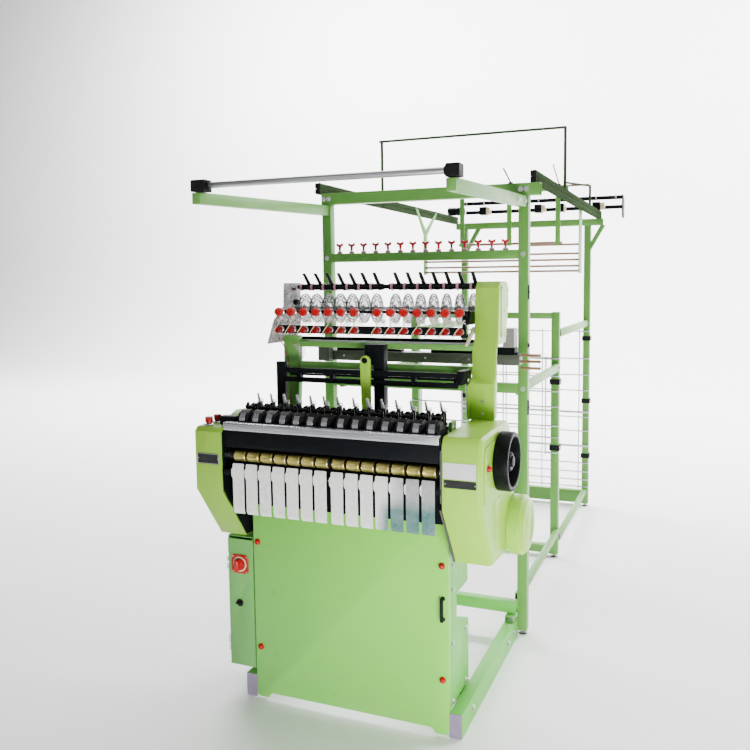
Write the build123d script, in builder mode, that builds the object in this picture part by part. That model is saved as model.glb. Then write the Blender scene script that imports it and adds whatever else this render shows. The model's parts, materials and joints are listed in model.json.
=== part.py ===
from build123d import *
import os
from math import cos, sin, pi, radians

# Fourteen-head narrow fabric weaving loom with its weft feeder and yarn frame.
# Millimetres, +Z up, machine front towards -Y, operator's right towards +X.
# All numbers are machine coordinates: x = 0 midway between the two side
# housings, y = 0 at the cabinet's front panel, z = 0 on the floor.  The plane
# helpers move them so that the row's origin is under the middle of its box.

os.makedirs("parts", exist_ok=True)

# ------------------------------------------------------------------ dimensions
CX, CY = -43.0, -1305.0          # machine origin in the row frame

HEADS = 14                        # weaving heads across the table
PITCH = 50.0                      # head to head
MID_GAP = 57.0                    # between heads 7 and 8
XC = 11.5                         # centre line of the fourteen heads
STATIONS = [XC - MID_GAP / 2 - PITCH * (6 - i) for i in range(7)] + \
           [XC + MID_GAP / 2 + PITCH * i for i in range(7)]
# the weft feeder's groups stand a little closer, with a wider gap between them
CAPS = [-317 + 48.8 * i for i in range(7)] + [61 + 48.3 * i for i in range(7)]
DISCS = [-309 + 48.6 * i for i in range(7)] + [55.5 + 48.1 * i for i in range(7)]
LEVERS = [-285 + 46.7 * i for i in range(7)] + [74 + 47.1 * i for i in range(7)]

RAIL_W, RAIL_H, RAIL_T = 42.0, 80.0, 2.5      # base side rails
RAIL_L, RAIL_R = -375.0, 379.0                # their centre lines
RAIL_Y0, RAIL_Y1 = 3.0, 760.0

IN_L, IN_R = -379.0, 379.0        # inner faces of the side housings
OUT_L, OUT_R = -486.0, 502.0      # outer faces
FRONT = -129.0                    # front faces of the housings

POST = 40.0                       # creel posts
TUBE_T = 2.0                      # their wall
Y_F, Y_M, Y_R = 797.0, 1718.0, 2695.0         # creel post rows
TOP = 1785.0                      # underside of the top cross beams

SHAFT_Y, SHAFT_Z, SHAFT_R = 60.0, 897.0, 15.0     # main shaft
WHEEL_R = 92.0
TAKE_Y, TAKE_Z, TAKE_R = -108.0, 888.0, 18.0      # take-up roller
SLEY_Y, SLEY_Z, SLEY_R = 12.0, 1000.0, 9.0        # sley rocking shaft
FEED_Y, FEED_Z, FEED_R = 322.0, 1356.0, 7.0       # weft feed shaft
DISC_R = 54.0
BAR_Y, BAR_Z, BAR_R = 320.0, 1434.0, 8.0          # lever bar
MOTOR_Y, MOTOR_Z = 250.0, 640.0
RUN = 0.05                        # radial running clearance of a shaft


# --------------------------------------------------------------------- helpers
HOME = Plane(origin=(CX, CY, 0))


def top_plane(z):
    """Sketch x, y are machine X, Y; extrudes towards +Z."""
    return Plane(origin=(CX, CY, z), x_dir=(1, 0, 0), z_dir=(0, 0, 1))


def front_plane(y):
    """Sketch x, y are machine X, Z; extrudes towards -Y, the operator."""
    return Plane(origin=(CX, CY + y, 0), x_dir=(1, 0, 0), z_dir=(0, -1, 0))


def side_plane(x):
    """Sketch x, y are machine Y, Z; extrudes towards +X."""
    return Plane(origin=(CX + x, CY, 0), x_dir=(0, 1, 0), z_dir=(1, 0, 0))


def bar(x0, x1, y0, y1, z0, z1, mode=Mode.ADD):
    """A straight block between two corners, in machine coordinates."""
    with Locations(((x0 + x1) / 2, (y0 + y1) / 2, (z0 + z1) / 2)):
        Box(x1 - x0, y1 - y0, z1 - z0, mode=mode)


def tube(x0, x1, y0, y1, z0, z1, along, t=TUBE_T):
    """A rectangular tube, open at both ends."""
    bar(x0, x1, y0, y1, z0, z1)
    dx, dy, dz = (0 if along == a else t for a in "xyz")
    bar(x0 + dx, x1 - dx, y0 + dy, y1 - dy, z0 + dz, z1 - dz, Mode.SUBTRACT)


def rod_x(x0, x1, y, z, r, mode=Mode.ADD):
    with Locations(Location(((x0 + x1) / 2, y, z), (0, 90, 0))):
        Cylinder(r, x1 - x0, mode=mode)


def rod_y(x, y0, y1, z, r, mode=Mode.ADD):
    with Locations(Location((x, (y0 + y1) / 2, z), (90, 0, 0))):
        Cylinder(r, y1 - y0, mode=mode)


def rod_z(x, y, z0, z1, r, mode=Mode.ADD):
    with Locations((x, y, (z0 + z1) / 2)):
        Cylinder(r, z1 - z0, mode=mode)


# ------------------------------------------------------------------ base frame
with BuildPart(HOME) as base_frame:
    for x in (RAIL_L, RAIL_R):
        tube(x - RAIL_W / 2, x + RAIL_W / 2, RAIL_Y0, RAIL_Y1, 0, RAIL_H, "y", RAIL_T)
    # rear beam lies on the rails, the front one sits between them
    tube(RAIL_L - 20, RAIL_R + 20, 733, 773, RAIL_H + 24.2, RAIL_H + 70.2, "x")
    for x in (RAIL_L, RAIL_R):
        tube(x - 18, x + 18, 700, 757, RAIL_H + 0.2, RAIL_H + 24, "y")
    tube(RAIL_L + 21.3, RAIL_R - 21.3, 232, 272, 12, 52, "x")
base_frame.part.label = "base_frame"
export_step(base_frame.part, "parts/base_frame.step")

with BuildPart(HOME) as tube_end_caps:
    # moulded plugs of the base rails: a flange with a spigot in the tube
    for x in (RAIL_L, RAIL_R):
        for y0, y1, s0, s1 in ((0, RAIL_Y0 - 0.1, RAIL_Y0 - 0.2, 18), (RAIL_Y1 + 0.1, RAIL_Y1 + 3, 745, RAIL_Y1 + 0.2)):
            bar(x - RAIL_W / 2, x + RAIL_W / 2, y0, y1, 0, RAIL_H)
            bar(x - RAIL_W / 2 + RAIL_T + 0.3, x + RAIL_W / 2 - RAIL_T - 0.3, s0, s1, RAIL_T + 0.3, RAIL_H - RAIL_T - 0.3)
    # end blocks of the yarn guide tube, and the plugs of the side channels
    for x0, x1 in ((-473, -420.4), (395.4, 437)):
        bar(x0, x1, -126, -82, 1745.6, 1784)
    for x0, x1 in ((440, 464), (-505, -481)):
        for z0 in (TOP + 48.2, TOP + 72.4):
            bar(x0, x1, 775.5, 778.3, z0, z0 + 22)
            bar(x0, x1, 2740.2, 2743, z0, z0 + 22)
tube_end_caps.part.label = "tube_end_caps"
export_step(tube_end_caps.part, "parts/tube_end_caps.step")

with BuildPart(HOME) as levelling_feet:
    # one under each creel post: pad, stem and lock nut
    for x, y in ((413, Y_F), (-453, Y_F), (370, Y_M), (-403, Y_M), (385, Y_R), (-420, Y_R)):
        rod_z(x, y, 0, 7, 19)
        rod_z(x, y, 7, 15.7, 6)
levelling_feet.part.label = "levelling_feet"
export_step(levelling_feet.part, "parts/levelling_feet.step")

# ---------------------------------------------------------------- lower cabinet
PANEL_L, PANEL_R, PANEL_TOP = -353.0, 358.0, 745.0
with BuildPart() as front_panel:
    with BuildSketch(front_plane(2)):
        with BuildLine():
            Polyline((PANEL_L, PANEL_TOP), (PANEL_L, 16), (PANEL_L + 12, 4), (PANEL_L + 46, 4), (PANEL_L + 58, 22),
                     (PANEL_R - 60, 22), (PANEL_R - 46, 4), (PANEL_R - 12, 4), (PANEL_R, 16), (PANEL_R, PANEL_TOP), close=True)
        make_face()
    extrude(amount=2)
    # returned side and top edges, and the stiffening fold above the feet
    with BuildSketch(top_plane(20)):
        with Locations(((PANEL_L + 1, 11), (PANEL_R - 1, 11))):
            Rectangle(2, 18)
    extrude(amount=PANEL_TOP - 20)
    with BuildSketch(front_plane(20)):
        with Locations(((PANEL_L + PANEL_R) / 2, PANEL_TOP - 1)):
            Rectangle(PANEL_R - PANEL_L, 2)
        with Locations(((PANEL_L + PANEL_R) / 2, 86)):
            Rectangle(PANEL_R - PANEL_L, 2)
    extrude(amount=18)
front_panel.part.label = "front_panel"
export_step(front_panel.part, "parts/front_panel.step")

with BuildPart(HOME) as panel_knobs:
    # domed quarter-turn knobs: four on the panel, two on the right side cover
    for x, z in ((-336, 561), (336, 561), (-332, 187), (337, 188)):
        rod_y(x, -12, -0.1, z, 11)
    fillet(panel_knobs.part.faces().sort_by(Axis.Y)[:4].edges(), 6)
    for y, z in ((-78, 903), (238, 846)):
        rod_x(OUT_R + 4.2, OUT_R + 17, y, z, 11)
    fillet(panel_knobs.part.faces().sort_by(Axis.X)[-2:].edges(), 6)
panel_knobs.part.label = "panel_knobs"
export_step(panel_knobs.part, "parts/panel_knobs.step")

with BuildPart(HOME) as panel_handle:
    # bow handle on two round bosses
    with Locations((339, -14, 421.5)):
        Box(11, 10, 78)
    fillet(panel_handle.part.edges().filter_by(Axis.Z), 3)
    for z in (392, 451):
        rod_y(339, -10, -0.1, z, 5)
panel_handle.part.label = "panel_handle"
export_step(panel_handle.part, "parts/panel_handle.step")

with BuildPart() as side_frames:
    # cast side legs: the lower leg stands on the rail and bends to the upper
    # one behind the front panel, leaving the window between them
    for x in (PANEL_L + 3, PANEL_R - 17):
        with BuildSketch(side_plane(x)):
            with BuildLine():
                Polyline((22, RAIL_H + 1), (221, RAIL_H + 1), (221, 304), (92, 360), (92, 437),
                         (211, 437), (211, 576), (211, 760), (22, 760), close=True)
            make_face()
            with Locations((150, 660)):
                Rectangle(70, 110, mode=Mode.SUBTRACT)
        extrude(amount=14)
side_frames.part.label = "side_frames"
export_step(side_frames.part, "parts/side_frames.step")

with BuildPart(HOME) as electrical_cabinet:
    bar(-461, -360, 6, 196, 102, 570)
    bar(-459, -362, 5, 194, 104, 568, Mode.SUBTRACT)
    for z in (178.3, 448.3):
        rod_z(-464.2, 5, z, z + 29.4, 3)
        bar(-465, -460.5, 6.2, 7.8, z, z + 29.4)
electrical_cabinet.part.label = "electrical_cabinet"
export_step(electrical_cabinet.part, "parts/electrical_cabinet.step")

with BuildPart(HOME) as electrical_door:
    bar(-461, -360, 3.2, 5.7, 102, 560)
    # hinge knuckles on the left edge, returned edges inside the cabinet's mouth
    for z in (150, 478):
        rod_z(-464.2, 5, z, z + 28, 3)
        bar(-465, -460.5, 3.6, 5.2, z, z + 28)
    bar(-457.5, -455.5, 5.5, 14, 108, 556)
    bar(-365.5, -363.5, 5.5, 14, 108, 556)
    # square raised plate of the main switch
    bar(-443, -379, 0.2, 3.4, 440, 504)
    rod_y(-411, -1, 15, 472, 6 + RUN, Mode.SUBTRACT)
    rod_y(-416, -1, 15, 331, 5 + RUN, Mode.SUBTRACT)
electrical_door.part.label = "electrical_door"
export_step(electrical_door.part, "parts/electrical_door.step")

with BuildPart(HOME) as main_switch:
    rod_y(-411, -0.1, 12, 472, 6)
    rod_y(-411, -14, -0.1, 472, 21)
    bar(-415, -407, -24, -13.5, 454, 490)
main_switch.part.label = "main_switch"
export_step(main_switch.part, "parts/main_switch.step")

with BuildPart(HOME) as door_latch:
    rod_y(-416, 2.9, 14, 331, 5)
    rod_y(-416, -2, 2.9, 331, 13)
    bar(-428, -404, -8, -1.8, 326, 336)
door_latch.part.label = "door_latch"
export_step(door_latch.part, "parts/door_latch.step")

# ---------------------------------------------------------------- side housings
RIGHT_SIDE = [(FRONT, 779), (FRONT, 972), (FRONT + 17, 998), (188, 1000), (214, 976), (262, 800), (288, 700),
              (266, 596), (205, 565), (0, 579)]
LEFT_SIDE = [(FRONT, 768), (FRONT, 964), (FRONT + 14, 978), (168, 984), (205, 956), (205, 620), (170, 579), (0, 579)]
with BuildPart() as right_housing:
    with BuildSketch(side_plane(IN_R + 2.2)):
        with BuildLine():
            Polyline(*RIGHT_SIDE, close=True)
        make_face()
    extrude(amount=OUT_R - IN_R - 2.2)
    chamfer(right_housing.part.faces().sort_by(Axis.X)[-1].edges(), 9)
    with BuildSketch(side_plane(IN_R + 2.2)):
        with BuildLine():
            Polyline(*RIGHT_SIDE, close=True)
        make_face()
        offset(amount=-3.5, kind=Kind.INTERSECTION, mode=Mode.REPLACE)
    extrude(amount=OUT_R - IN_R - 14, mode=Mode.SUBTRACT)
    # shaft passage and motor passage
    with Locations(Location((CX + OUT_R, CY + SHAFT_Y, SHAFT_Z), (0, 90, 0))):
        Cylinder(SHAFT_R + 14, 60, mode=Mode.SUBTRACT)
right_housing.part.label = "right_housing"
export_step(right_housing.part, "parts/right_housing.step")

with BuildPart() as left_housing:
    with BuildSketch(side_plane(OUT_L)):
        with BuildLine():
            Polyline(*LEFT_SIDE, close=True)
        make_face()
    extrude(amount=IN_L - OUT_L - 2.2)
    chamfer(left_housing.part.faces().sort_by(Axis.X)[0].edges(), 3)
    with BuildSketch(side_plane(OUT_L + 12)):
        with BuildLine():
            Polyline(*LEFT_SIDE, close=True)
        make_face()
        offset(amount=-3.5, kind=Kind.INTERSECTION, mode=Mode.REPLACE)
    extrude(amount=IN_L - OUT_L - 14, mode=Mode.SUBTRACT)
    # raised hump over the inner half, and the button holes in the top face
    with BuildSketch(side_plane(-425)):
        with BuildLine():
            Polyline((-38, 976), (-12, 1002), (25, 1014), (95, 1009), (150, 986), (150, 976), close=True)
        make_face()
    extrude(amount=43.8)
    for y in (-94, -46):
        with Locations(Location((CX - 452, CY + y, 974))):
            Cylinder(9.9, 24, mode=Mode.SUBTRACT)
left_housing.part.label = "left_housing"
export_step(left_housing.part, "parts/left_housing.step")

with BuildPart(HOME) as start_button:
    rod_z(-452, -94, 962, 996, 9.82)
    rod_z(-452, -94, 989, 1008, 13)
start_button.part.label = "start_button"
export_step(start_button.part, "parts/start_button.step")

with BuildPart(HOME) as stop_button:
    rod_z(-452, -46, 962, 996, 9.82)
    rod_z(-452, -46, 989, 1008, 13)
stop_button.part.label = "stop_button"
export_step(stop_button.part, "parts/stop_button.step")

with BuildPart(HOME) as trim_plates:
    # plain plates on the housing fronts, and the bright rings of the buttons
    bar(386, 486, FRONT - 1.5, FRONT - 0.1, 877, 925)
    bar(388, 487, FRONT - 1.5, FRONT - 0.1, 850, 874)
    bar(-477, -392, FRONT - 1.5, FRONT - 0.1, 856, 892)
    for y, z in ((-94, 978.9), (-46, 979.9)):
        rod_z(-452, y, z, z + 4.6, 15)
        rod_z(-452, y, z - 1, z + 6, 9.9, Mode.SUBTRACT)
trim_plates.part.label = "trim_plates"
export_step(trim_plates.part, "parts/trim_plates.step")

with BuildPart() as side_liners:
    # black inner plates that close the housings and carry the rollers
    for x, top in ((IN_L - 2, 8), (IN_R, 0)):
        with BuildSketch(side_plane(x)):
            with BuildLine():
                Polyline((FRONT + 2, 781), (FRONT + 2, 962), (FRONT + 20, 985 - top), (165, 985 - top), (200, 958 - top), (200, 622), (165, 582), (2, 582), close=True)
            make_face()
            with Locations((SHAFT_Y, SHAFT_Z)):
                Circle(SHAFT_R + 2.5, mode=Mode.SUBTRACT)
            with Locations((TAKE_Y, TAKE_Z)):
                Circle(9 + RUN, mode=Mode.SUBTRACT)
        extrude(amount=2)
    # cushioned end block of the breast bar, on the left housing
    with BuildSketch(side_plane(-403)):
        with Locations((-82, 997)):
            RectangleRounded(43, 34, 14)
    extrude(amount=57)
side_liners.part.label = "side_liners"
export_step(side_liners.part, "parts/side_liners.step")

with BuildPart() as side_cover:
    # flat service cover on the outer face of the right housing
    with BuildSketch(side_plane(OUT_R + 0.1)):
        with BuildLine():
            Polyline((-104, 800), (-104, 940), (-90, 966), (170, 970), (192, 950), (252, 760), (206, 758), (120, 772), close=True)
        make_face()
        with Locations((SHAFT_Y, SHAFT_Z)):
            Circle(SHAFT_R + 14, mode=Mode.SUBTRACT)
    extrude(amount=4)
side_cover.part.label = "side_cover"
export_step(side_cover.part, "parts/side_cover.step")

with BuildPart() as motor_cover:
    # round dished guard over the motor pulley
    with BuildSketch(side_plane(OUT_R + 0.1)):
        with Locations((MOTOR_Y, MOTOR_Z)):
            Circle(99)
    extrude(amount=56)
    chamfer(motor_cover.part.faces().sort_by(Axis.X)[-1].edges(), 16)
    with BuildSketch(side_plane(OUT_R + 0.1)):
        with Locations((MOTOR_Y, MOTOR_Z)):
            Circle(96)
    extrude(amount=38, mode=Mode.SUBTRACT)
motor_cover.part.label = "motor_cover"
export_step(motor_cover.part, "parts/motor_cover.step")

# ----------------------------------------------------------------------- drive
with BuildPart(HOME) as motor:
    rod_x(390, 470, MOTOR_Y - 45, MOTOR_Z, 52)
    rod_x(384, 390, MOTOR_Y - 45, MOTOR_Z, 40)
    bar(395, 465, 170, 215, 574, 606)
    rod_x(380, 480, MOTOR_Y - 45, MOTOR_Z, 9 + RUN, Mode.SUBTRACT)
motor.part.label = "motor"
export_step(motor.part, "parts/motor.step")

with BuildPart(HOME) as motor_pulley:
    rod_x(386, 471, MOTOR_Y - 45, MOTOR_Z, 9)
    rod_x(471.2, 489, MOTOR_Y - 45, MOTOR_Z, 34)
motor_pulley.part.label = "motor_pulley"
export_step(motor_pulley.part, "parts/motor_pulley.step")

with BuildPart(HOME) as main_shaft:
    # shaft right across the machine, belt pulley and four shedding cams
    rod_x(-372, 548, SHAFT_Y, SHAFT_Z, SHAFT_R)
    rod_x(472, 488, SHAFT_Y, SHAFT_Z, 62)
    for k in range(4):
        with Locations(Location((-250 + 26 * k, SHAFT_Y + 6 * cos(k * pi / 2), SHAFT_Z + 6 * sin(k * pi / 2)), (0, 90, 0))):
            Cylinder(30, 12)
main_shaft.part.label = "main_shaft"
export_step(main_shaft.part, "parts/main_shaft.step")

with BuildPart() as handwheel:
    # dished wheel: deep rim, three spokes and a hub on the main shaft
    with BuildSketch(front_plane(SHAFT_Y)):
        with BuildLine():
            Polyline((507, SHAFT_Z + 74), (507, SHAFT_Z + WHEEL_R - 3), (510, SHAFT_Z + WHEEL_R), (549, SHAFT_Z + WHEEL_R),
                     (553, SHAFT_Z + WHEEL_R - 4), (553, SHAFT_Z + 76), (549, SHAFT_Z + 74), close=True)
        make_face()
    revolve(axis=Axis((CX, CY + SHAFT_Y, SHAFT_Z), (1, 0, 0)))
    with Locations(Location((CX + 527, CY + SHAFT_Y, SHAFT_Z), (0, 90, 0))):
        Cylinder(30, 36)
    for k in range(3):
        with BuildSketch(Plane(origin=(CX + 514, CY + SHAFT_Y, SHAFT_Z), x_dir=(0, cos(k * 2 * pi / 3 + 0.5), sin(k * 2 * pi / 3 + 0.5)), z_dir=(1, 0, 0))):
            with Locations((51, 0)):
                Rectangle(50, 20)
        extrude(amount=12)
    with Locations(Location((CX + 527, CY + SHAFT_Y, SHAFT_Z), (0, 90, 0))):
        Cylinder(SHAFT_R, 60, mode=Mode.SUBTRACT)
handwheel.part.label = "handwheel"
export_step(handwheel.part, "parts/handwheel.step")

with BuildPart() as drive_belt:
    # flat belt round the two pulleys, 0.4 mm off their rims
    _a = (SHAFT_Y, SHAFT_Z, 62.4)
    _b = (MOTOR_Y - 45, MOTOR_Z, 34.4)
    with BuildSketch(side_plane(474)):
        with Locations((_a[0], _a[1])):
            Circle(_a[2] + 3)
        with Locations((_b[0], _b[1])):
            Circle(_b[2] + 3)
        make_hull()
        with BuildSketch(side_plane(474), mode=Mode.SUBTRACT):
            with Locations((_a[0], _a[1])):
                Circle(_a[2])
            with Locations((_b[0], _b[1])):
                Circle(_b[2])
            make_hull()
    extrude(amount=12)
drive_belt.part.label = "drive_belt"
export_step(drive_belt.part, "parts/drive_belt.step")

# ----------------------------------------------------------------------- table
with BuildPart(HOME) as table_bed:
    # box casting between the side plates, with two bearings for the main shaft
    bar(IN_L + 2, IN_R - 0.3, -100, 205, 940, 962)
    bar(IN_L + 2, IN_R - 0.3, 187, 205, 800, 940)
    for x in (-340, 330):
        bar(x, x + 24, 20, 100, 860, 940)
        rod_x(x - 2, x + 26, SHAFT_Y, SHAFT_Z, SHAFT_R + RUN, Mode.SUBTRACT)
    for x in (-374, 362.5):
        bar(x, x + 12, SLEY_Y - 22, SLEY_Y + 22, 962, SLEY_Z + 20)
        rod_x(x - 2, x + 14, SLEY_Y, SLEY_Z, SLEY_R + RUN, Mode.SUBTRACT)
table_bed.part.label = "table_bed"
export_step(table_bed.part, "parts/table_bed.step")

with BuildPart(HOME) as breast_bar:
    bar(-372, 372, FRONT, FRONT + 24, 972, 999)
    fillet(breast_bar.part.edges().filter_by(Axis.X).sort_by(Axis.Y)[:2], 5)
breast_bar.part.label = "breast_bar"
export_step(breast_bar.part, "parts/breast_bar.step")

with BuildPart() as apron_plate:
    # bent plate under the breast bar, back behind the take-up roller
    with BuildSketch(side_plane(IN_L + 0.4)):
        with BuildLine():
            Polyline((FRONT + 8, 971.5), (FRONT + 8, 916), (-84, 910), (-84, 752), (19, 748), (19, 750.4), (-81.6, 754.4), (-81.6, 912),
                     (FRONT + 10.4, 918), (FRONT + 10.4, 971.5), close=True)
        make_face()
    extrude(amount=IN_R - IN_L - 0.8)
    # rail that the delivery plates hang on
    with BuildSketch(side_plane(IN_L + 0.4)):
        with Locations((FRONT + 1.5, 835)):
            Rectangle(7, 18)
    extrude(amount=IN_R - IN_L - 0.8)
apron_plate.part.label = "apron_plate"
export_step(apron_plate.part, "parts/apron_plate.step")

with BuildPart(HOME) as take_up_shaft:
    rod_x(IN_L - 1.9, IN_R + 1.9, TAKE_Y, TAKE_Z, 9)
take_up_shaft.part.label = "take_up_shaft"
export_step(take_up_shaft.part, "parts/take_up_shaft.step")

with BuildPart(HOME) as take_up_rollers:
    # fourteen sleeves pressed on the shaft
    for x in STATIONS:
        rod_x(x - 20.5, x + 20.5, TAKE_Y, TAKE_Z, TAKE_R)
        rod_x(x - 22, x + 22, TAKE_Y, TAKE_Z, 9, Mode.SUBTRACT)
take_up_rollers.part.label = "take_up_rollers"
export_step(take_up_rollers.part, "parts/take_up_rollers.step")

with BuildPart() as fabric_chutes:
    # bright delivery plates, each with a hinge ear on its left side
    for x in STATIONS:
        with BuildSketch(side_plane(x - 20.5)):
            with BuildLine():
                Polyline((FRONT - 1.5, 866), (FRONT - 4, 852), (FRONT - 4, 712), (FRONT + 2, 700), (FRONT + 3.5, 700.8),
                         (FRONT - 2.2, 713), (FRONT - 2.2, 852), (FRONT + 0.3, 866), close=True)
            make_face()
        extrude(amount=41)
    for x in STATIONS:
        with BuildSketch(front_plane(FRONT - 2.2)):
            with Locations((x - 23, 835)):
                Rectangle(5.4, 26)
        extrude(amount=1.8)
fabric_chutes.part.label = "fabric_chutes"
export_step(fabric_chutes.part, "parts/fabric_chutes.step")

# --------------------------------------------------------------- weaving heads
with BuildPart() as head_blocks:
    for x in STATIONS:
        with BuildSketch(side_plane(x - 21)):
            with BuildLine():
                Polyline((FRONT + 26, 962.2), (-6, 962.2), (-6, 1026), (-30, 1052), (-50, 1052), (-62, 1030), (-84, 1016), (FRONT + 26, 1004), close=True)
            make_face()
        extrude(amount=42)
head_blocks.part.label = "head_blocks"
export_step(head_blocks.part, "parts/head_blocks.step")

with BuildPart() as head_guides:
    # bright fabric guides let into the front of every block
    for x in STATIONS:
        with BuildSketch(side_plane(x - 13)):
            with BuildLine():
                Polyline((-101, 1010), (-86, 1018), (-66, 1031), (-71, 1041), (-92, 1029), (-101, 1018), close=True)
            make_face()
        extrude(amount=26)
head_guides.part.label = "head_guides"
export_step(head_guides.part, "parts/head_guides.step")

with BuildPart(HOME) as sley_shaft:
    rod_x(-373.5, 374, SLEY_Y, SLEY_Z, SLEY_R)
sley_shaft.part.label = "sley_shaft"
export_step(sley_shaft.part, "parts/sley_shaft.step")

with BuildPart(HOME) as sley_arms:
    # one clamped arm on the rocking shaft behind each head
    for x in STATIONS:
        rod_x(x - 10, x + 10, SLEY_Y, SLEY_Z, 17)
        bar(x - 7, x + 7, SLEY_Y - 7, SLEY_Y + 7, SLEY_Z + 10, 1048)
        rod_x(x - 12, x + 12, SLEY_Y, SLEY_Z, SLEY_R, Mode.SUBTRACT)
sley_arms.part.label = "sley_arms"
export_step(sley_arms.part, "parts/sley_arms.step")

with BuildPart(HOME) as reed_holders:
    # bright pins with a short reed, one on each sley arm
    for x in STATIONS:
        rod_z(x, SLEY_Y, 1048.2, 1078, 4.5)
        bar(x - 11, x + 11, SLEY_Y - 3, SLEY_Y + 3, 1050, 1056)
reed_holders.part.label = "reed_holders"
export_step(reed_holders.part, "parts/reed_holders.step")

# ------------------------------------------------------- column and upper frame
with BuildPart() as column_head:
    # cast column on the right housing, with the feeder's gear head on top
    with BuildSketch(side_plane(IN_R)):
        with BuildLine():
            Polyline((170, 1000.3), (172, 1118), (186, 1135), (194, 1225), (216, 1262), (232, 1430), (252, 1450), (338, 1450),
                     (358, 1430), (362, 1380), (320, 1242), (214, 1240), (210, 1140), (206, 1000.3), close=True)
        make_face()
    extrude(amount=80)
    fillet(column_head.part.edges().filter_by(Axis.X).sort_by(Axis.Z)[-4:], 9)
    chamfer(column_head.part.faces().sort_by(Axis.X)[-1].edges(), 4)
    with Locations(Location((CX + IN_R, CY + FEED_Y, FEED_Z), (0, 90, 0))):
        Cylinder(FEED_R + RUN, 60, mode=Mode.SUBTRACT)
    # gusset plate along the foot's left side
    with BuildSketch(side_plane(IN_R - 8)):
        with BuildLine():
            Polyline((154, 1000.3), (154, 1112), (188, 1134), (200, 1134), (200, 1000.3), close=True)
        make_face()
    extrude(amount=8.2)
    # blind bore of the feeler lever's stub
    with Locations(Location((CX + IN_R, CY + 236, 1289), (0, 90, 0))):
        Cylinder(5 + RUN, 24, mode=Mode.SUBTRACT)
column_head.part.label = "column_head"
export_step(column_head.part, "parts/column_head.step")

with BuildPart() as upper_frame:
    # left leg on the table, and the two cross bars from it to the column
    with BuildSketch(side_plane(-332)):
        with BuildLine():
            Polyline((178, 962.2), (204, 962.2), (222, 1120), (222, 1262), (196, 1262), (196, 1120), close=True)
        make_face()
    extrude(amount=62)
    for z0, z1 in ((1222, 1241), (1144, 1170)):
        with BuildSketch(side_plane(-269.6)):
            with Locations((209, (z0 + z1) / 2)):
                Rectangle(22, z1 - z0)
        extrude(amount=IN_R - 0.4 + 269.6)
upper_frame.part.label = "upper_frame"
export_step(upper_frame.part, "parts/upper_frame.step")

with BuildPart(HOME) as harness_rails:
    # black twin guide rails with their left upright, ties and right bracket
    bar(-280.7, 352.7, 114, 128, 1138.5, 1155.5)
    bar(-280.7, 352.7, 114, 128, 1106.5, 1123.5)
    bar(-315, -281, 114, 132, 962.3, 1176)
    for x in (-228, -100, 200):
        bar(x - 7, x + 7, 114, 128, 1123.8, 1138.2)
    bar(353, 378.7, 106, 178, 1134.5, 1164)
    bar(353, 370.7, 106, 170, 1118.6, 1134.5)
harness_rails.part.label = "harness_rails"
export_step(harness_rails.part, "parts/harness_rails.step")

with BuildPart(HOME) as centre_post:
    # black post behind the rails, its block and the lever's headed pivot pin
    bar(52, 90, 129, 163, 962.3, 1242)
    bar(20, 52, 129, 150, 1172, 1242)
    rod_y(33, 95, 130, 1190, 4.95)
    rod_y(33, 95, 101.6, 1190, 9)
centre_post.part.label = "centre_post"
export_step(centre_post.part, "parts/centre_post.step")

with BuildPart() as centre_lever:
    # green lever plate with a rounded, bored top
    with BuildSketch(front_plane(112)):
        with BuildLine():
            Polyline((15, 1188), (15, 1140), (20, 990), (50, 990), (51, 1140), (51, 1188))
            ThreePointArc((51, 1188), (33, 1206), (15, 1188))
        make_face()
        with Locations((33, 1190)):
            Circle(4.95 + RUN, mode=Mode.SUBTRACT)
    extrude(amount=10)
centre_lever.part.label = "centre_lever"
export_step(centre_lever.part, "parts/centre_lever.step")

# ----------------------------------------------------------------- weft feeder
with BuildPart() as feeder_end_plate:
    # clear end plate at the left of the feeder
    with BuildSketch(side_plane(-344)):
        with BuildLine():
            Polyline((104, 1238), (300, 1238), (338, 1300), (338, 1450), (224, 1450), (218, 1366), (150, 1319), close=True)
        make_face()
        with Locations((FEED_Y, FEED_Z)):
            Circle(FEED_R + RUN, mode=Mode.SUBTRACT)
    extrude(amount=6)
feeder_end_plate.part.label = "feeder_end_plate"
export_step(feeder_end_plate.part, "parts/feeder_end_plate.step")

with BuildPart(HOME) as feeder_rails:
    # black rails that carry the tension units, the lower guide rail and the
    # round bar of the release levers
    bar(-337.8, 362, 168, 182, 1272, 1300)
    bar(-337.8, IN_R - 0.3, 172, 180, 1344, 1354)
    bar(352, 362, 172, 180, 1300.3, 1343.7)
    bar(-337.8, IN_R - 0.3, 240, 252, 1246, 1256)
    rod_x(-337.8, IN_R - 0.3, BAR_Y, BAR_Z, BAR_R)
feeder_rails.part.label = "feeder_rails"
export_step(feeder_rails.part, "parts/feeder_rails.step")

with BuildPart(HOME) as feed_shaft:
    rod_x(-352, 400, FEED_Y, FEED_Z, FEED_R)
feed_shaft.part.label = "feed_shaft"
export_step(feed_shaft.part, "parts/feed_shaft.step")

with BuildPart(HOME) as feed_discs:
    for x in DISCS:
        rod_x(x - 4, x + 4, FEED_Y, FEED_Z, DISC_R)
        rod_x(x - 8, x + 8, FEED_Y, FEED_Z, 17)
        rod_x(x - 9, x + 9, FEED_Y, FEED_Z, FEED_R, Mode.SUBTRACT)
feed_discs.part.label = "feed_discs"
export_step(feed_discs.part, "parts/feed_discs.step")

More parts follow.
